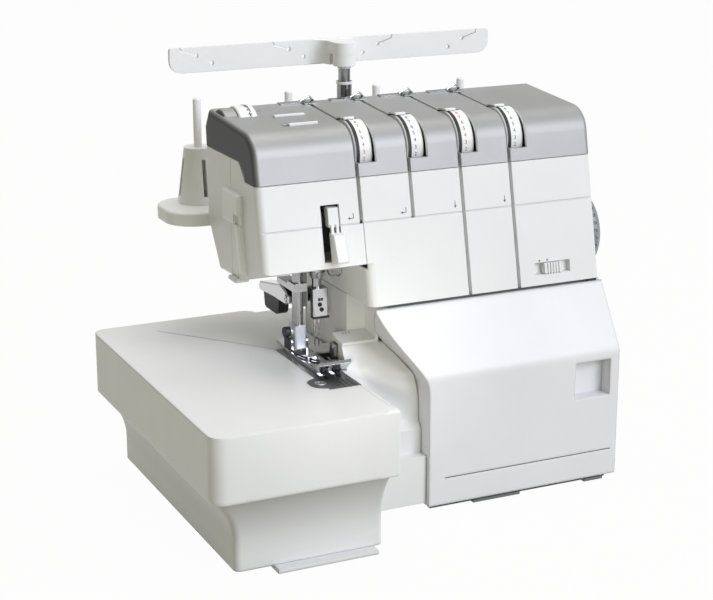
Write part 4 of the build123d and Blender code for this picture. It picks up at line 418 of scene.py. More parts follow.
# %% Set copies on points
def copies_tree():
    """Geometry Nodes: a part on every point, turned one way, made real and given its finish."""
    tree = bpy.data.node_groups.new("copies_on_points", "GeometryNodeTree")
    face = tree.interface
    inputs = (("Points", "Geometry"), ("Part", "Object"), ("Turn", "Rotation"), ("Finish", "Material"))
    for label, kind in inputs:
        face.new_socket(label, in_out="INPUT", socket_type="NodeSocket" + kind)
    face.new_socket("Copies", in_out="OUTPUT", socket_type="NodeSocketGeometry")
    start = tree.nodes.new("NodeGroupInput")
    end = tree.nodes.new("NodeGroupOutput")
    info = tree.nodes.new("GeometryNodeObjectInfo")
    spread = tree.nodes.new("GeometryNodeInstanceOnPoints")
    real = tree.nodes.new("GeometryNodeRealizeInstances")
    paint = tree.nodes.new("GeometryNodeSetMaterial")
    join(tree, start, "Part", info, "Object")
    join(tree, start, "Points", spread, "Points")
    join(tree, info, "Geometry", spread, "Instance")
    join(tree, start, "Turn", spread, "Rotation")
    join(tree, spread, "Instances", real, "Geometry")
    join(tree, real, "Geometry", paint, "Geometry")
    join(tree, start, "Finish", paint, "Material")
    join(tree, paint, "Geometry", end, "Copies")
    return tree


copies = copies_tree()
copies_inputs = {item.name: item.identifier for item in copies.interface.items_tree
                 if item.in_out == "INPUT"}


def set_copies(name, part, points, turn, material, body):
    """A piece made of one part repeated at points given in millimetres."""
    cloud = bpy.data.meshes.new(name + "_points")
    cloud.from_pydata([Vector(p) * mm for p in points], [], [])
    holder = bpy.data.objects.new(name + "_points", cloud)
    bpy.context.collection.objects.link(holder)
    modifier = holder.modifiers.new("copies", "NODES")
    modifier.node_group = copies
    modifier[copies_inputs["Part"]] = part
    modifier[copies_inputs["Turn"]] = turn
    modifier[copies_inputs["Finish"]] = material
    evaluated = holder.evaluated_get(bpy.context.evaluated_depsgraph_get())
    mesh = bpy.data.meshes.new_from_object(evaluated)
    bpy.data.objects.remove(holder)
    mesh.name = name
    link_piece(name, mesh, material, body)


print("copies inputs:", len(copies_inputs))

# %% Screws in their places
face_front = (math.radians(90), 0.0, 0.0)
face_back = (math.radians(-90), 0.0, 0.0)
face_right = (0.0, math.radians(90), 0.0)
face_up = (0.0, 0.0, 0.0)
face_left = (0.0, math.radians(-90), 0.0)
clamp_low, clamp_high = box_mm("needle_clamp")
clamp_screws = ((4.9, 9.0), (6.3, 5.2))
clamp_spots = [(clamp_low[0] + across, clamp_low[1], clamp_low[2] + up) for across, up in clamp_screws]
set_copies("clamp_screws", set_screw, clamp_spots, face_front, black_moulding, "needle_bar")
plate_low, plate_high = box_mm("needle_plate")
plate_screw_at = (8.0, 14.0)
plate_spot = (plate_low[0] + plate_screw_at[0], plate_low[1] + plate_screw_at[1], plate_high[2])
set_copies("plate_screws", plate_screw, [plate_spot], face_up, ground_steel, "machine")
lift_low = box_mm("lifter_lever")[0]
lifter_pivot = (3.5, 144.0)
lifter_spot = (lift_low[0], lift_low[1] + lifter_pivot[0], lifter_pivot[1])
set_copies("lifter_screw", pivot_screw, [lifter_spot], face_left, polished_steel, "lifter")
back_y = box_mm("rear_cover")[1][1]
rear_screws = [(-14.0, 16.0), (148.0, 16.0), (-14.0, 140.0), (148.0, 140.0), (148.0, 240.0), (-90.0, 240.0)]
rear_spots = [(x, back_y, z) for x, z in rear_screws]
set_copies("rear_screws", cover_screw, rear_spots, face_back, ground_steel, "machine")
side_low, side_high = box_mm("side_cover")
side_inset = 8.0
side_heights = (18.0, 141.0)
side_ys = (side_low[1] + side_inset, side_high[1] - side_inset)
side_spots = [(side_high[0], y, z) for y in side_ys for z in side_heights]
set_copies("side_screws", cover_screw, side_spots, face_right, ground_steel, "machine")
print("screws:", len(clamp_spots) + len(rear_spots) + len(side_spots) + 2)

# %% [markdown]
# ## Numbers on the dials
# Each tension dial is a white drum with plain numbers printed round it, in its thread's colour. A font
# curve becomes a mesh, and each number is then laid on the drum, its right side along the axle and its top
# along the drum's turn.

# %% Number meshes
font_per_height = 1.4
number_depth = 0.00008


def number_mesh(text, height):
    """The outline of a number as a thin mesh, centred, in metres."""
    curve = bpy.data.curves.new("number", "FONT")
    curve.body = text
    curve.size = height * mm * font_per_height
    curve.align_x = "CENTER"
    curve.align_y = "CENTER"
    curve.extrude = number_depth
    curve.resolution_u = 3
    holder = bpy.data.objects.new("number", curve)
    bpy.context.collection.objects.link(holder)
    evaluated = holder.evaluated_get(bpy.context.evaluated_depsgraph_get())
    mesh = bpy.data.meshes.new_from_object(evaluated)
    bpy.data.objects.remove(holder)
    return mesh


def ring_of_numbers(name, numbers, centre, radius, height, step, start, material, body):
    """Numbers round a drum that turns about X; centre in metres, radius in millimetres."""
    builder = bmesh.new()
    for index, text in enumerate(numbers):
        angle = math.radians(start + step * index)
        out = Vector((0.0, -math.cos(angle), math.sin(angle)))
        up = Vector((0.0, math.sin(angle), math.cos(angle)))
        spot = Vector(centre) + out * radius * mm
        basis = Matrix((x_axis, up, out)).transposed().to_4x4()
        mesh = number_mesh(text, height)
        mesh.transform(Matrix.Translation(spot) @ basis)
        builder.from_mesh(mesh)
        bpy.data.meshes.remove(mesh)
    mesh = bpy.data.meshes.new(name)
    builder.to_mesh(mesh)
    builder.free()
    link_piece(name, mesh, material, body)


print("number helpers ready")

# %% Printing inks
def ink(name, colour):
    """A printed colour with a little unevenness."""
    shade = tuple(channel * 0.8 for channel in colour)
    return finish(name, shade, colour, rough=(0.45, 0.6), edge=0.0, patch_scale=300.0)


orange_ink = ink("orange_ink", (0.55, 0.16, 0.03))
blue_ink = ink("blue_ink", (0.05, 0.07, 0.35))
red_ink = ink("red_ink", (0.5, 0.03, 0.03))
green_ink = ink("green_ink", (0.03, 0.25, 0.09))
grey_ink = ink("grey_ink", (0.12, 0.12, 0.13))
dark_ink = ink("dark_ink", (0.03, 0.03, 0.032))
print("inks: 6")

# %% Numbers and painted gap shade of the tension dials
dial_inks = (orange_ink, blue_ink, red_ink, green_ink)
dial_numbers = [str(n) for n in range(10)]
band_from = 0.7
band_to = 3.4
band_proud = 0.05
band_sunk = 0.4
band_sides = 64
for index, colour in enumerate(dial_inks, start=1):
    body = f"tension_dial_{index}"
    low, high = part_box(body)
    drum_radius = (high[2] - low[2]) / 2 / mm
    middle = ((low[0] + high[0]) / 2, (low[1] + high[1]) / 2, (low[2] + high[2]) / 2)
    ring_of_numbers(f"tension_numbers_{index}", dial_numbers, middle, drum_radius, height=2.7, step=13.0,
                    start=-32.0, material=colour, body=body)
    # A black ring on each drum's left end is painted shade for the dark gap beside it.
    left = low[0] / mm + band_from
    right = low[0] / mm + band_to
    inner = drum_radius - band_sunk
    outer = drum_radius + band_proud
    profile = ((left, inner), (left, outer), (right, outer), (right, inner))
    rings = [[(x, middle[1] / mm + a, middle[2] / mm + b) for a, b in circle_outline(radius, band_sides)]
             for x, radius in profile]
    builder = bmesh.new()
    add_skin(builder, rings, ring=True)
    build_piece(f"dial_band_{index}", builder, black_moulding, body, smooth=True)
print("tension dials:", len(dial_inks))

# %% Numbers of the pressure dial
pressure_numbers = [str(n) for n in range(1, 8)]
low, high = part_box("pressure_dial")
pressure_radius = (high[2] - low[2]) / 2 / mm
across = 0.58
middle = (low[0] + (high[0] - low[0]) * across, (low[1] + high[1]) / 2, (low[2] + high[2]) / 2)
ring_of_numbers("pressure_numbers", pressure_numbers, middle, pressure_radius, height=5.0, step=14.0,
                start=40.0, material=dark_ink, body="pressure_dial")
print("pressure numbers:", len(pressure_numbers))

# %% [markdown]
# ## Trim of the needle clamp
# The clamp has two square notches over its set screws and a dark thread plate under it. A bent wire leads
# the threads under the arm. They are plates, a rounded block and a wire along a path.

# %% Needle clamp trim
# The notches are thin black plates: painted shade for the recesses.
notch_shade = [(0.0, 0.0), (1.7, 0.0), (1.7, 2.2), (0.0, 2.2)]
notch_xs = (3.6, 5.6)
notch_rise = 11.6
thread_plate = ((clamp_low[0] - 0.3, clamp_low[1] - 0.8, clamp_low[2] - 1.3),
                (clamp_high[0] + 0.3, clamp_low[1] + 5.0, clamp_low[2] + 0.2), 0.3)
needle_wire = [(-36.8, 6.5, 166.5), (-36.4, 4.0, 163.2), (-35.0, 2.0, 162.0), (-32.5, 1.2, 162.8),
               (-30.0, 1.0, 162.0), (-28.4, 1.0, 163.4), (-28.3, 1.0, 172.4)]
builder = bmesh.new()
for x in notch_xs:
    spot = Vector((clamp_low[0] + x, clamp_low[1], clamp_low[2] + notch_rise)) * mm
    add_prism(builder, notch_shade, spot, x_axis, z_axis, -y_axis, depth=0.08, sink=0.2)
soft_block(builder, *thread_plate)
build_piece("clamp_trim", builder, black_moulding, "needle_bar")
builder = bmesh.new()
add_wire(builder, needle_wire, radius=0.6)
build_piece("needle_wire", builder, clip_steel, "machine")
print("clamp trim: 2 pieces")

# %% [markdown]
# ## Trim of the presser foot
# The foot's holder has a thumb screw. The foot has a black clip, a spring wire, a slot in its toe and two
# raised bars. The foot tilts on its holder, so its trim is apart from the thumb screw.

# %% Presser foot trim
holder_low = box_mm("foot_holder")[0]
sole_height = 2.5
sole_top = box_mm("presser_foot")[0][2] + sole_height
thumb_spot = Vector((holder_low[0] + 2.6, 12.0, 122.0)) * mm
clip = ((-66.3, 8.2, sole_top + 1.5), (-64.1, 16.8, 117.8), 0.5)
spring_path = [(-65.2, 10.0, sole_top + 2.6), (-64.4, 2.0, sole_top + 1.2), (-62.0, -8.0, sole_top + 0.8),
               (-58.5, -16.0, sole_top + 0.8), (-55.0, -21.0, sole_top + 0.8)]
# The toe's slot is a thin black plate: painted shade for the opening.
toe_slot_shade = [(0.0, 0.0), (8.5, 0.0), (8.5, 4.6), (0.0, 4.6)]
toe_spot = Vector((-52.5, -27.0, sole_top)) * mm
middle_bar = ((-61.0, -14.0, sole_top - 0.4), (-54.0, -9.0, sole_top + 2.4), 0.6)
toe_bar = ((-53.5, -30.0, sole_top - 0.4), (-42.5, -27.6, sole_top + 1.6), 0.5)
builder = bmesh.new()
add_prism(builder, circle_outline(3.7), thumb_spot, y_axis, z_axis, -x_axis, depth=4.4)
build_piece("foot_thumb_screw", builder, black_moulding, "presser")
builder = bmesh.new()
soft_block(builder, *clip)
add_wire(builder, spring_path, radius=0.75)
add_prism(builder, toe_slot_shade, toe_spot, x_axis, y_axis, z_axis, depth=0.12, sink=0.3)
build_piece("foot_spring", builder, black_moulding, "presser_foot")
block_piece("foot_bars", (middle_bar, toe_bar), polished_steel, "presser_foot")
print("foot trim: 3 pieces")

# %% [markdown]
# ## Thread hooks and mast bands
# A bent wire hook stands on each thread guide at the back of the lid; one is drawn and copied. The mast has
# a bright band where it leaves the tube and another under the guide bar's hub, both plain rings.

# %% Thread hooks
hook_path = [(-5.6, 0.0, -0.4), (-4.0, 0.0, 0.5), (-1.4, 0.0, 1.5), (0.4, 0.2, 2.5), (1.6, 0.4, 2.9),
             (2.8, 0.5, 2.2), (4.0, 0.4, 1.0), (5.6, 0.0, -0.4)]
slot_xs = (-28.0, 12.0, 52.0, 92.0)
hook_y = 60.5
hook_z = box_mm("thread_guides")[1][2] - 0.2
builder = bmesh.new()
add_wire(builder, hook_path, radius=0.75)
thread_hook = bpy.data.objects.new("thread_hook", to_mesh("thread_hook", builder))
hook_spots = [(x, hook_y, hook_z) for x in slot_xs]
set_copies("thread_hooks", thread_hook, hook_spots, face_up, clip_steel, "machine")
print("hooks:", len(hook_spots))

# %% Mast bands
mast_low, mast_high = box_mm("mast_top")
mast_x = (mast_low[0] + mast_high[0]) / 2
mast_y = (mast_low[1] + mast_high[1]) / 2
tube_top = box_mm("mast_base")[1][2]
hub_height = 8.5
hub_low = mast_high[2] - hub_height


def add_band(builder, inner, outer, low, high, count=32):
    """Add a ring about the mast, in millimetres."""
    profile = ((inner, low), (outer, low), (outer, high), (inner, high))
    rings = [[(mast_x + a, mast_y + b, z) for a, b in circle_outline(radius, count)]
             for radius, z in profile]
    add_skin(builder, rings, ring=True)


builder = bmesh.new()
add_band(builder, inner=5.55, outer=6.0, low=tube_top - 2.2, high=tube_top)
build_piece("tube_band", builder, white_moulding, "machine")
builder = bmesh.new()
add_band(builder, inner=4.45, outer=5.1, low=hub_low - 2.0, high=hub_low - 0.4)
build_piece("hub_band", builder, white_moulding, "mast")
print("bands: 2")

# %% [markdown]
# ## The bed's sweep to the looper cover
# The bed's apron flows forward until it meets the looper cover's curved edge. A loft between two outlines
# would miss that edge, so a skin runs over many level outlines, each easing forward from the bed's circle.

# %% The bed's sweep
bed_curve = ((-21.5, 117.0), (-46.0, 80.0), (-61.0, 62.0))
cover_edge = ((62.0, 5.5), (86.0, 5.5), (99.0, 4.0), (111.0, -3.0), (126.0, -13.0))
sweep_edge = ((66.0, -56.6), (81.0, -56.0), (88.0, -55.3), (95.0, -54.0), (101.0, -51.0), (105.0, -46.5),
              (109.0, -39.5), (113.0, -31.0), (117.0, -21.5))
sweep_reach = ((66.0, 34.0), (103.0, 34.0), (117.0, 28.0))
sweep_gap = 0.5
sweep_root = 1.0
sweep_bury = 0.05
sweep_heights = 40
sweep_steps = 20


def read_line(points, at):
    """The value at a place along a line of (place, value) points."""
    for (start, first), (end, last) in zip(points, points[1:]):
        if at <= end:
            return first + (last - first) * (at - start) / (end - start)
    return points[-1][1]


def curve_centre(points):
    """The middle of the circle through three points of a plane, and its radius."""
    (ax, ay), (bx, by), (cx, cy) = points
    area = 2 * (ax * (by - cy) + bx * (cy - ay) + cx * (ay - by))
    a2, b2, c2 = (x * x + y * y for x, y in points)
    x = (a2 * (by - cy) + b2 * (cy - ay) + c2 * (ay - by)) / area
    y = (a2 * (cx - bx) + b2 * (ax - cx) + c2 * (bx - ax)) / area
    return x, y, math.hypot(ax - x, ay - y)


centre_y, centre_z, bed_radius = curve_centre(bed_curve)
sections = []
for k in range(sweep_heights + 1):
    z = sweep_edge[0][0] + (sweep_edge[-1][0] - sweep_edge[0][0]) * k / sweep_heights
    bed_y = centre_y + math.sqrt(bed_radius ** 2 - (z - centre_z) ** 2)
    ahead = max(0.0, bed_y - read_line(sweep_edge, z))
    edge_x = read_line(cover_edge, z) - sweep_gap
    reach = read_line(sweep_reach, z)
    section = [(edge_x, bed_y + sweep_root, z), (edge_x - reach, bed_y + sweep_root, z)]
    for i in range(sweep_steps + 1):
        share = i / sweep_steps
        ease = share * share * (3 - 2 * share)
        section.append((edge_x - reach * (1 - share), bed_y + sweep_bury - ahead * ease, z))
    sections.append(section)
builder = bmesh.new()
add_skin(builder, sections)
build_piece("bed_sweep", builder, white_moulding, "machine", smooth=True)
print("bed sweep sections:", len(sections))

# %% [markdown]
# ## The extension table's leg
# The table stands on a hollow leg that flares out under its block. Rounded rectangles at rising heights
# draw it. The same outlines, drawn in by the wall's thickness, make the inside, and both close into a ring.

# %% The table's leg
table_low, table_high = box_mm("extension_table")
block_height = 47.0
block_low = table_high[2] - block_height
leg_sides = (table_low[0] + 20.7, -48.0, table_low[1] + 17.7, table_high[1] - 6.0)
leg_foot = 3.05
leg_top = block_low + 1.6
flare_height = 36.0
flare_steps = 10
flare_out = (17.5, 0.0, 14.5, 2.0)
leg_round = 4.5
leg_wall = 1.0


def rounded_outline(x0, x1, y0, y1, radius, steps=6):
    """A rectangle with rounded corners, as points in turn."""
    corners = ((x1, y1, 0, -1, -1), (x0, y1, 90, 1, -1), (x0, y0, 180, 1, 1), (x1, y0, 270, -1, 1))
    points = []
    for x, y, first, inward_x, inward_y in corners:
        for i in range(steps + 1):
            turn = math.radians(first + 90 * i / steps)
            points.append((x + inward_x * radius + radius * math.cos(turn),
                           y + inward_y * radius + radius * math.sin(turn)))
    return points


def leg_section(z, inset):
    """The leg's outline at a height, spread by the flare under the block and drawn in by inset."""
    share = max(0.0, (z - block_low + flare_height) / flare_height)
    left, right, front, back = (side * min(1.0, share) ** 2 for side in flare_out)
    outline = rounded_outline(leg_sides[0] - left + inset, leg_sides[1] + right - inset,
                              leg_sides[2] - front + inset, leg_sides[3] + back - inset, leg_round - inset)
    return [(x, y, z) for x, y in outline]


heights = [leg_foot]
heights += [block_low - flare_height * (1 - i / flare_steps) for i in range(flare_steps + 1)]
heights.append(leg_top)
outer = [leg_section(z, 0.0) for z in heights]
inner = [leg_section(z, leg_wall) for z in reversed(heights)]
builder = bmesh.new()
add_skin(builder, outer + inner, ring=True)
build_piece("table_leg", builder, leg_painted_shade_moulding, "table", smooth=True)
print("leg sections:", len(heights))

# %% [markdown]
# ## The table's square end and the arm's lip
# The block ends square beside the bed, and a thin plate closes the gap at its back right corner. A small
# lip under the arm's left end opens its cover. All three are rounded blocks.

# %% The table's end and the arm's lip
end_top = table_high[2] - 0.03
square_end = ((-60.0, table_low[1] + 0.02, block_low + 0.05), (-43.5, -72.5, end_top), 2.0)
back_corner = ((-48.0, 72.0, table_high[2] - 3.2), (-8.0, table_high[1] - 8.0, end_top), 0.8)
arm_lip = ((-106.0, 9.0, 163.2), (-95.0, 23.0, 166.6), 1.2)
block_piece("table_end", (square_end, back_corner), white_moulding, "table")
block_piece("cover_lip", (arm_lip,), white_moulding, "machine")
print("end and lip: 2 pieces")

# %% [markdown]
# ## The thread cutter's stem
# Under the cutter a rounded rib runs down the left end, leaning forward. It is a skin over level sections,
# each a flattened arch. The last lies closer to the wall, so that the rib fades out.

# %% The thread cutter's stem
cutter_low, cutter_high = box_mm("thread_cutter")
stem_head = cutter_low[2] + 0.5
stem_foot = 172.0
stem_front = cutter_low[1] + 0.3
stem_lean = math.tan(math.radians(12.0))
stem_steps = 12
stem_widths = (11.0, 9.5)
stem_proud = 3.4
foot_proud = 1.2
stem_root = cutter_high[0] + 0.6
arch_steps = 10
arch_trim = 0.001
arch_power = 0.6
arch_turns = [math.pi * (i + arch_trim) / (arch_steps + 2 * arch_trim) for i in range(arch_steps + 1)]
sections = []
for i in range(stem_steps + 1):
    z = stem_head + (stem_foot - stem_head) * i / stem_steps
    front = stem_front - (cutter_low[2] - z) * stem_lean
    width = stem_widths[0] + (stem_widths[1] - stem_widths[0]) * i / stem_steps
    proud = stem_proud if i < stem_steps else foot_proud
    arch = [(cutter_high[0] - proud * math.sin(t) ** arch_power, front + width * (1 - math.cos(t)) / 2, z)
            for t in arch_turns]
    sections.append(arch + [(stem_root, front + width, z), (stem_root, front, z)])
builder = bmesh.new()
add_skin(builder, sections)
build_piece("cutter_stem", builder, painted_light_moulding, "machine", smooth=True)
print("stem sections:", len(sections))

# %% [markdown]
# ## Lips on the lid, pale as painted highlights
# Each dial window has a lip along its top, and two strips lie on the lid's left; their pale white is
# painted highlight along those edges. They are thin rounded blocks; the lips take their places from the
# dials.

# %% Lips and strips
lip_width = 8.0
lip_ys = (0.2, 2.6)
lip_rise = (0.25, 1.9)
lip_round = 0.3
lips = []
for index in range(1, len(dial_inks) + 1):
    low, high = box_mm(f"tension_dial_{index}")
    lips.append(((low[0], lip_ys[0], high[2] + lip_rise[0]),
                 (low[0] + lip_width, lip_ys[1], high[2] + lip_rise[1]), lip_round))
lips.append(((-67.5, 26.4, 274.5), (-44.5, 28.4, 276.3), lip_round))
lips.append(((-67.0, 1.0, 272.8), (-45.5, 3.0, 274.7), lip_round))
block_piece("window_lips", lips, painted_light_moulding, "machine")
print("lips and strips:", len(lips))

# %% [markdown]
# ## The shelf behind the needle plate
# Behind the foot the bed goes on as a pale shelf, the casting there has a pale facing, and a wall closes
# the bed's back. Three rounded blocks are enough, clear of the needles and the loopers.

# %% Shelf, facing and wall
shelf = ((plate_high[0] + 0.3, 12.0, 101.6), (-26.2, 27.2, plate_high[2] - 0.4), 0.4)
facing = ((-44.0, 34.6, 80.0), (-16.0, 36.1, 100.4), 0.4)
back_wall = ((-44.0, 60.0, 14.4), (-26.0, 63.0, 95.0), 0.6)
block_piece("throat_shelf", (shelf, facing, back_wall), white_moulding, "machine")
print("shelf blocks: 3")

# %% [markdown]
# ## The front pads
# Dark pads show under the looper cover, with a dark strip between them: painted shadow along the cover's
# foot. They are rounded blocks, low enough for the opening cover to pass over.

# %% Pads and strip
left_pad = ((45.0, -67.0, 0.05), (84.0, -60.5, 2.45), 0.6)
right_pad = ((138.5, -67.0, 0.05), (155.0, -60.5, 2.45), 0.6)
# The strip is painted shadow along the looper cover's foot.
shadow_strip = ((10.0, -66.5, 1.9), (157.0, -62.0, 2.5), 0.2)
block_piece("front_pads", (left_pad, right_pad, shadow_strip), tray_and_shadow_moulding, "machine")
print("front pads: 2")

# %% [markdown]
# ## The swell of the guide bar's hub
# The guide bar's hub runs into the bar by a hollow curve on each side. One whole outline above the rod's
# end and two flanks below it make the swell.

# %% The hub's swell
bar_high = box_mm("guide_bar")[1]
hub_radius = 8.55
hub_top = bar_high[2] - 0.4
rod_end = mast_high[2] + 0.2
bar_front = bar_high[1] - 3.0
swell_back = bar_front + 1.0
hub_blend = 11.0
arm_inner = 5.0
blend_steps = 8
nose_steps = 24


def swell_side(side):
    """The hollow curve from the hub's side to the bar's front."""
    turns = [math.radians(90 * i / blend_steps) for i in range(blend_steps + 1)]
    return [(mast_x + side * (hub_radius + hub_blend * (1 - math.cos(t))),
             bar_front - hub_blend * (1 - math.sin(t))) for t in turns]


nose_turns = [math.radians(180 + 180 * i / nose_steps) for i in range(nose_steps + 1)]
nose = [(mast_x + hub_radius * math.cos(t), mast_y + hub_radius * math.sin(t)) for t in nose_turns]
right_side = swell_side(1)
left_side = swell_side(-1)
back = [(right_side[-1][0], swell_back), (left_side[-1][0], swell_back)]
whole = nose + right_side + back + left_side[::-1]
builder = bmesh.new()
add_skin(builder, [[(x, y, z) for x, y in whole] for z in (rod_end, hub_top)])
for side, points in ((1, right_side), (-1, left_side)):
    inner_x = mast_x + side * arm_inner
    flank = points + [(points[-1][0], swell_back), (inner_x, swell_back), (inner_x, points[0][1])]
    add_skin(builder, [[(x, y, z) for x, y in flank] for z in (hub_low, rod_end)])
build_piece("hub_swell", builder, painted_light_moulding, "guide_bar", smooth=True)
print("hub swell points:", len(whole))

# %% [markdown]
# ## Printed marks
# Small arrows beside the thread slots and two dots over the slider are printed on the leaning front, and a
# long line crosses the looper cover. Each mark is a thin plate in the plane of its face; a painted texture
# would blur close up.

# %% Marks on the leaning front
front_tilt = math.radians(12.0)
front_foot = (-45.0, 150.0)
mark_depth = 0.06
mark_sink = 0.05


def add_mark(builder, outline, spot, right, up, out):
    """Add a printed mark to a face."""
    add_prism(builder, outline, spot, right, up, out, mark_depth, mark_sink)


def front_spot(x, z):
    """A point of the leaning front, in metres."""
    return Vector((x, front_foot[0] + (z - front_foot[1]) * math.tan(front_tilt), z)) * mm


front_up = Vector((0.0, math.sin(front_tilt), math.cos(front_tilt)))
front_out = Vector((0.0, -math.cos(front_tilt), math.sin(front_tilt)))
down_arrow = [(-1.1, 0.0), (-0.25, 0.0), (-0.25, 3.2), (0.25, 3.2), (0.25, 0.0), (1.1, 0.0), (0.0, -1.8)]
corner_arrow = [(-3.2, 0.0), (-1.4, 1.0), (-1.4, 0.25), (0.9, 0.25), (0.9, 3.6), (1.4, 3.6), (1.4, -0.25),
                (-1.4, -0.25), (-1.4, -1.0)]
slider_dot = circle_outline(0.7)
marks = ((-35.0, 212.0, corner_arrow), (5.5, 212.0, corner_arrow), (45.5, 213.0, down_arrow),
         (85.5, 213.0, down_arrow), (110.0, 167.4, slider_dot), (116.5, 167.4, slider_dot))
builder = bmesh.new()
for x, z, shape in marks:
    add_mark(builder, shape, front_spot(x, z), x_axis, front_up, front_out)
build_piece("front_marks", builder, grey_ink, "machine")
print("front marks:", len(marks))

# %% The line on the looper cover
rule_line = [(18.1, 26.1), (155.9, 26.1), (155.9, 26.7), (18.1, 26.7)]
rule_spot = Vector((0.0, box_mm("looper_cover")[0][1] + 0.8, 0.0)) * mm
builder = bmesh.new()
add_prism(builder, rule_line, rule_spot, x_axis, z_axis, -y_axis, depth=0.7, sink=0.2)
build_piece("cover_rule", builder, grey_ink, "looper_cover")
print("cover lines: 1")

# %% [markdown]
# ## Scales and pointers
# Ticks stand on the cloth guide's slope and round the two dials of the right side. Each of those dials has
# a pointer that turns with it, and the handwheel has a white mark. All are plates, as above.

# %% Scales beside the cloth guide and the side dials
tick = [(-0.2, 0.0), (0.2, 0.0), (0.2, 3.0), (-0.2, 3.0)]
guide_high = box_mm("cloth_guide")[1]
guide_xs = (-31.0, -28.5, -26.0)
guide_set = 4.5
guide_slope = math.atan2(3.5, 17.0)
guide_up = Vector((0.0, math.cos(guide_slope), math.sin(guide_slope)))
guide_out = Vector((0.0, -math.sin(guide_slope), math.cos(guide_slope)))
dial_ys = (-12.0, 34.0)
dial_z = 96.0
dial_ticks = 9
tick_radius = 18.6
tick_start = -140
tick_sweep = 280
builder = bmesh.new()
for x in guide_xs:
    spot = Vector((x, guide_high[1] - guide_set, guide_high[2] - guide_set * math.tan(guide_slope))) * mm
    add_mark(builder, tick, spot, x_axis, guide_up, guide_out)
for y in dial_ys:
    for i in range(dial_ticks):
        turn = math.radians(tick_start + tick_sweep * i / (dial_ticks - 1))
        out = Vector((0.0, math.sin(turn), math.cos(turn)))
        across = Vector((0.0, math.cos(turn), -math.sin(turn)))
        spot = (Vector((side_high[0], y, dial_z)) + out * tick_radius) * mm
        add_mark(builder, tick, spot, across, out, x_axis)
build_piece("scale_marks", builder, grey_ink, "machine")
print("ticks:", len(guide_xs) + len(dial_ys) * dial_ticks)

# %% Pointers and the handwheel's mark
def face_middle(name, inset=0.0):
    """The middle of a node's right face, in metres, moved inwards by inset millimetres."""
    low, high = box_mm(name)
    return Vector((high[0] - inset, (low[1] + high[1]) / 2, (low[2] + high[2]) / 2)) * mm


pointer = [(-0.6, 7.0), (0.6, 7.0), (0.6, 14.0), (-0.6, 14.0)]
for name, body in (("stitch_length_dial", "stitch_dial"), ("differential_dial", "feed_dial")):
    builder = bmesh.new()
    add_mark(builder, pointer, face_middle(name), y_axis, z_axis, x_axis)
    build_piece(body + "_pointer", builder, grey_ink, body)
wheel_low, wheel_high = box_mm("handwheel")
wheel_dish = 3.0
wheel_radius = (wheel_high[2] - wheel_low[2]) / 2
mark_from = wheel_radius - 20.0
mark_to = wheel_radius - 13.0
wheel_mark = [(-0.7, mark_from), (0.7, mark_from), (0.7, mark_to), (-0.7, mark_to)]
wheel_spot = face_middle("handwheel", wheel_dish)
builder = bmesh.new()
add_prism(builder, wheel_mark, wheel_spot, y_axis, z_axis, x_axis, mark_depth, sink=0.4)
build_piece("wheel_mark", builder, dial_moulding, "handwheel")
print("pointers: 2, wheel mark: 1")

# %% [markdown]
# ## Floor and world
# The photograph has a plain white ground with hardly a shadow. The floor shows mostly its own white to the
# camera and to reflections, while the object still receives ordinary bounced light from it. The world is
# dim and warm on the near left, and paler towards the back right.

# %% Floor
floor_half = 4.0
floor_glow = 0.975
floor_corners = [(-floor_half, -floor_half, 0), (floor_half, -floor_half, 0), (floor_half, floor_half, 0),
                 (-floor_half, floor_half, 0)]
floor_mesh = bpy.data.meshes.new("floor")
floor_mesh.from_pydata(floor_corners, [], [(0, 1, 2, 3)])
floor = bpy.data.objects.new("floor", floor_mesh)
bpy.context.collection.objects.link(floor)


def seen_directly(tree):
    """1 for camera, glossy and transmission rays, 0 for the light that bounces."""
    path = tree.nodes.new("ShaderNodeLightPath")
    seen = path.outputs["Is Camera Ray"]
    for ray in ("Is Glossy Ray", "Is Transmission Ray"):
        most = tree.nodes.new("ShaderNodeMath")
        most.operation = "MAXIMUM"
        tree.links.new(seen, most.inputs[0])
        tree.links.new(path.outputs[ray], most.inputs[1])
        seen = most.outputs["Value"]
    return seen


floor_white = bpy.data.materials.new("floor_white")
floor_white.use_nodes = True
tree = floor_white.node_tree
tree.nodes.remove(tree.nodes["Principled BSDF"])
paper = add_node(tree, "ShaderNodeBsdfDiffuse", Color=(0.4, 0.39, 0.3, 1.0))
glow = add_node(tree, "ShaderNodeEmission", Strength=1.0)
share = tree.nodes.new("ShaderNodeMath")
share.operation = "MULTIPLY"
share.inputs[1].default_value = floor_glow
tree.links.new(seen_directly(tree), share.inputs[0])
blend = tree.nodes.new("ShaderNodeMixShader")
join(tree, share, "Value", blend, "Fac")
tree.links.new(paper.outputs["BSDF"], blend.inputs[1])
tree.links.new(glow.outputs["Emission"], blend.inputs[2])
tree.links.new(blend.outputs["Shader"], tree.nodes["Material Output"].inputs["Surface"])
floor_mesh.materials.append(floor_white)
print("floor half width:", floor_half)

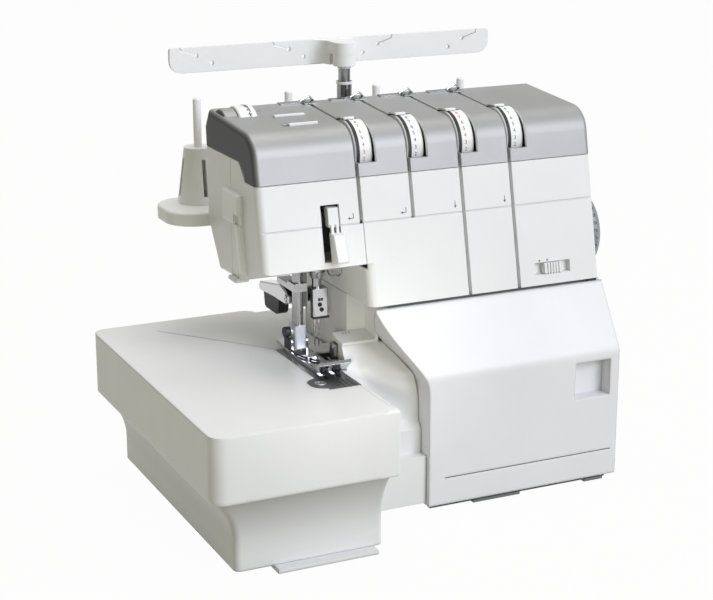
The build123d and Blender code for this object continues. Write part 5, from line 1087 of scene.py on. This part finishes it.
# %% World
world = bpy.data.worlds.new("studio")
bpy.context.scene.world = world
world.use_nodes = True
sky = world.node_tree
ambient = sky.nodes["Background"]
bright_side = Vector((0.55, 0.7, 0.45)).normalized()
around = sky.nodes.new("ShaderNodeTexCoord")
toward = spread_value(sky, along_side(sky, around.outputs["Generated"], bright_side), -1.0, 1.0)
tint = sky.nodes.new("ShaderNodeValToRGB")
dim, pale = tint.color_ramp.elements
dim.color = (0.17, 0.169, 0.1, 1.0)
pale.color = (0.62, 0.62, 0.62, 1.0)
dim.position = 0.2
pale.position = 0.85
sky.links.new(toward, tint.inputs["Fac"])
join(sky, tint, "Color", ambient, "Color")
print("world:", world.name)

# %% [markdown]
# ## Lamps
# One large soft lamp in front makes the fronts the brightest and a second lights the tops. A small soft
# spot reaches under the arm, to the needle plate and the foot.

# %% Lamps
def hang_lamp(name, kind, place, aim, power, colour):
    """A lamp that looks at a point."""
    lamp = bpy.data.lights.new(name, kind)
    lamp.energy = power
    lamp.color = colour
    holder = bpy.data.objects.new(name, lamp)
    holder.location = place
    holder.rotation_euler = (Vector(aim) - Vector(place)).to_track_quat("-Z", "Y").to_euler()
    bpy.context.collection.objects.link(holder)
    return lamp


machine_middle = (0.0, 0.0, 0.15)
throat_middle = (-0.012, 0.0, 0.12)
front_box = hang_lamp("front_box", "AREA", place=(1.2, -3.3, 1.9), aim=machine_middle, power=110.5,
                      colour=(0.865, 0.895, 1.0))
front_box.size = 2.3
top_box = hang_lamp("top_box", "AREA", place=(0.1, 0.2, 1.9), aim=machine_middle, power=12.0,
                    colour=(1.0, 0.985, 0.93))
top_box.size = 1.4
throat_spot = hang_lamp("throat_spot", "SPOT", place=(-0.45, -0.75, 0.28), aim=throat_middle, power=9.0,
                        colour=(1.0, 0.98, 0.86))
throat_spot.spot_size = math.radians(12.0)
throat_spot.spot_blend = 1.0
throat_spot.shadow_soft_size = 0.05
print("lamps: 3")

# %% [markdown]
# ## Camera
# The place, the aim and the lens were recovered from the photograph's vanishing points.

# %% Camera
camera_place = Vector((-0.5333, -1.0993, 0.5007))
camera_aim = Vector((0.408, 0.868, -0.2827))
camera = bpy.data.cameras.new("camera")
camera.sensor_fit = "HORIZONTAL"
camera.sensor_width = 36.0
camera.lens = 89.08
camera_holder = bpy.data.objects.new("camera", camera)
camera_holder.location = camera_place
camera_holder.rotation_euler = camera_aim.to_track_quat("-Z", "Y").to_euler()
bpy.context.collection.objects.link(camera_holder)
bpy.context.scene.camera = camera_holder
bpy.context.scene.view_settings.view_transform = "Standard"
print("camera at", tuple(camera_place))
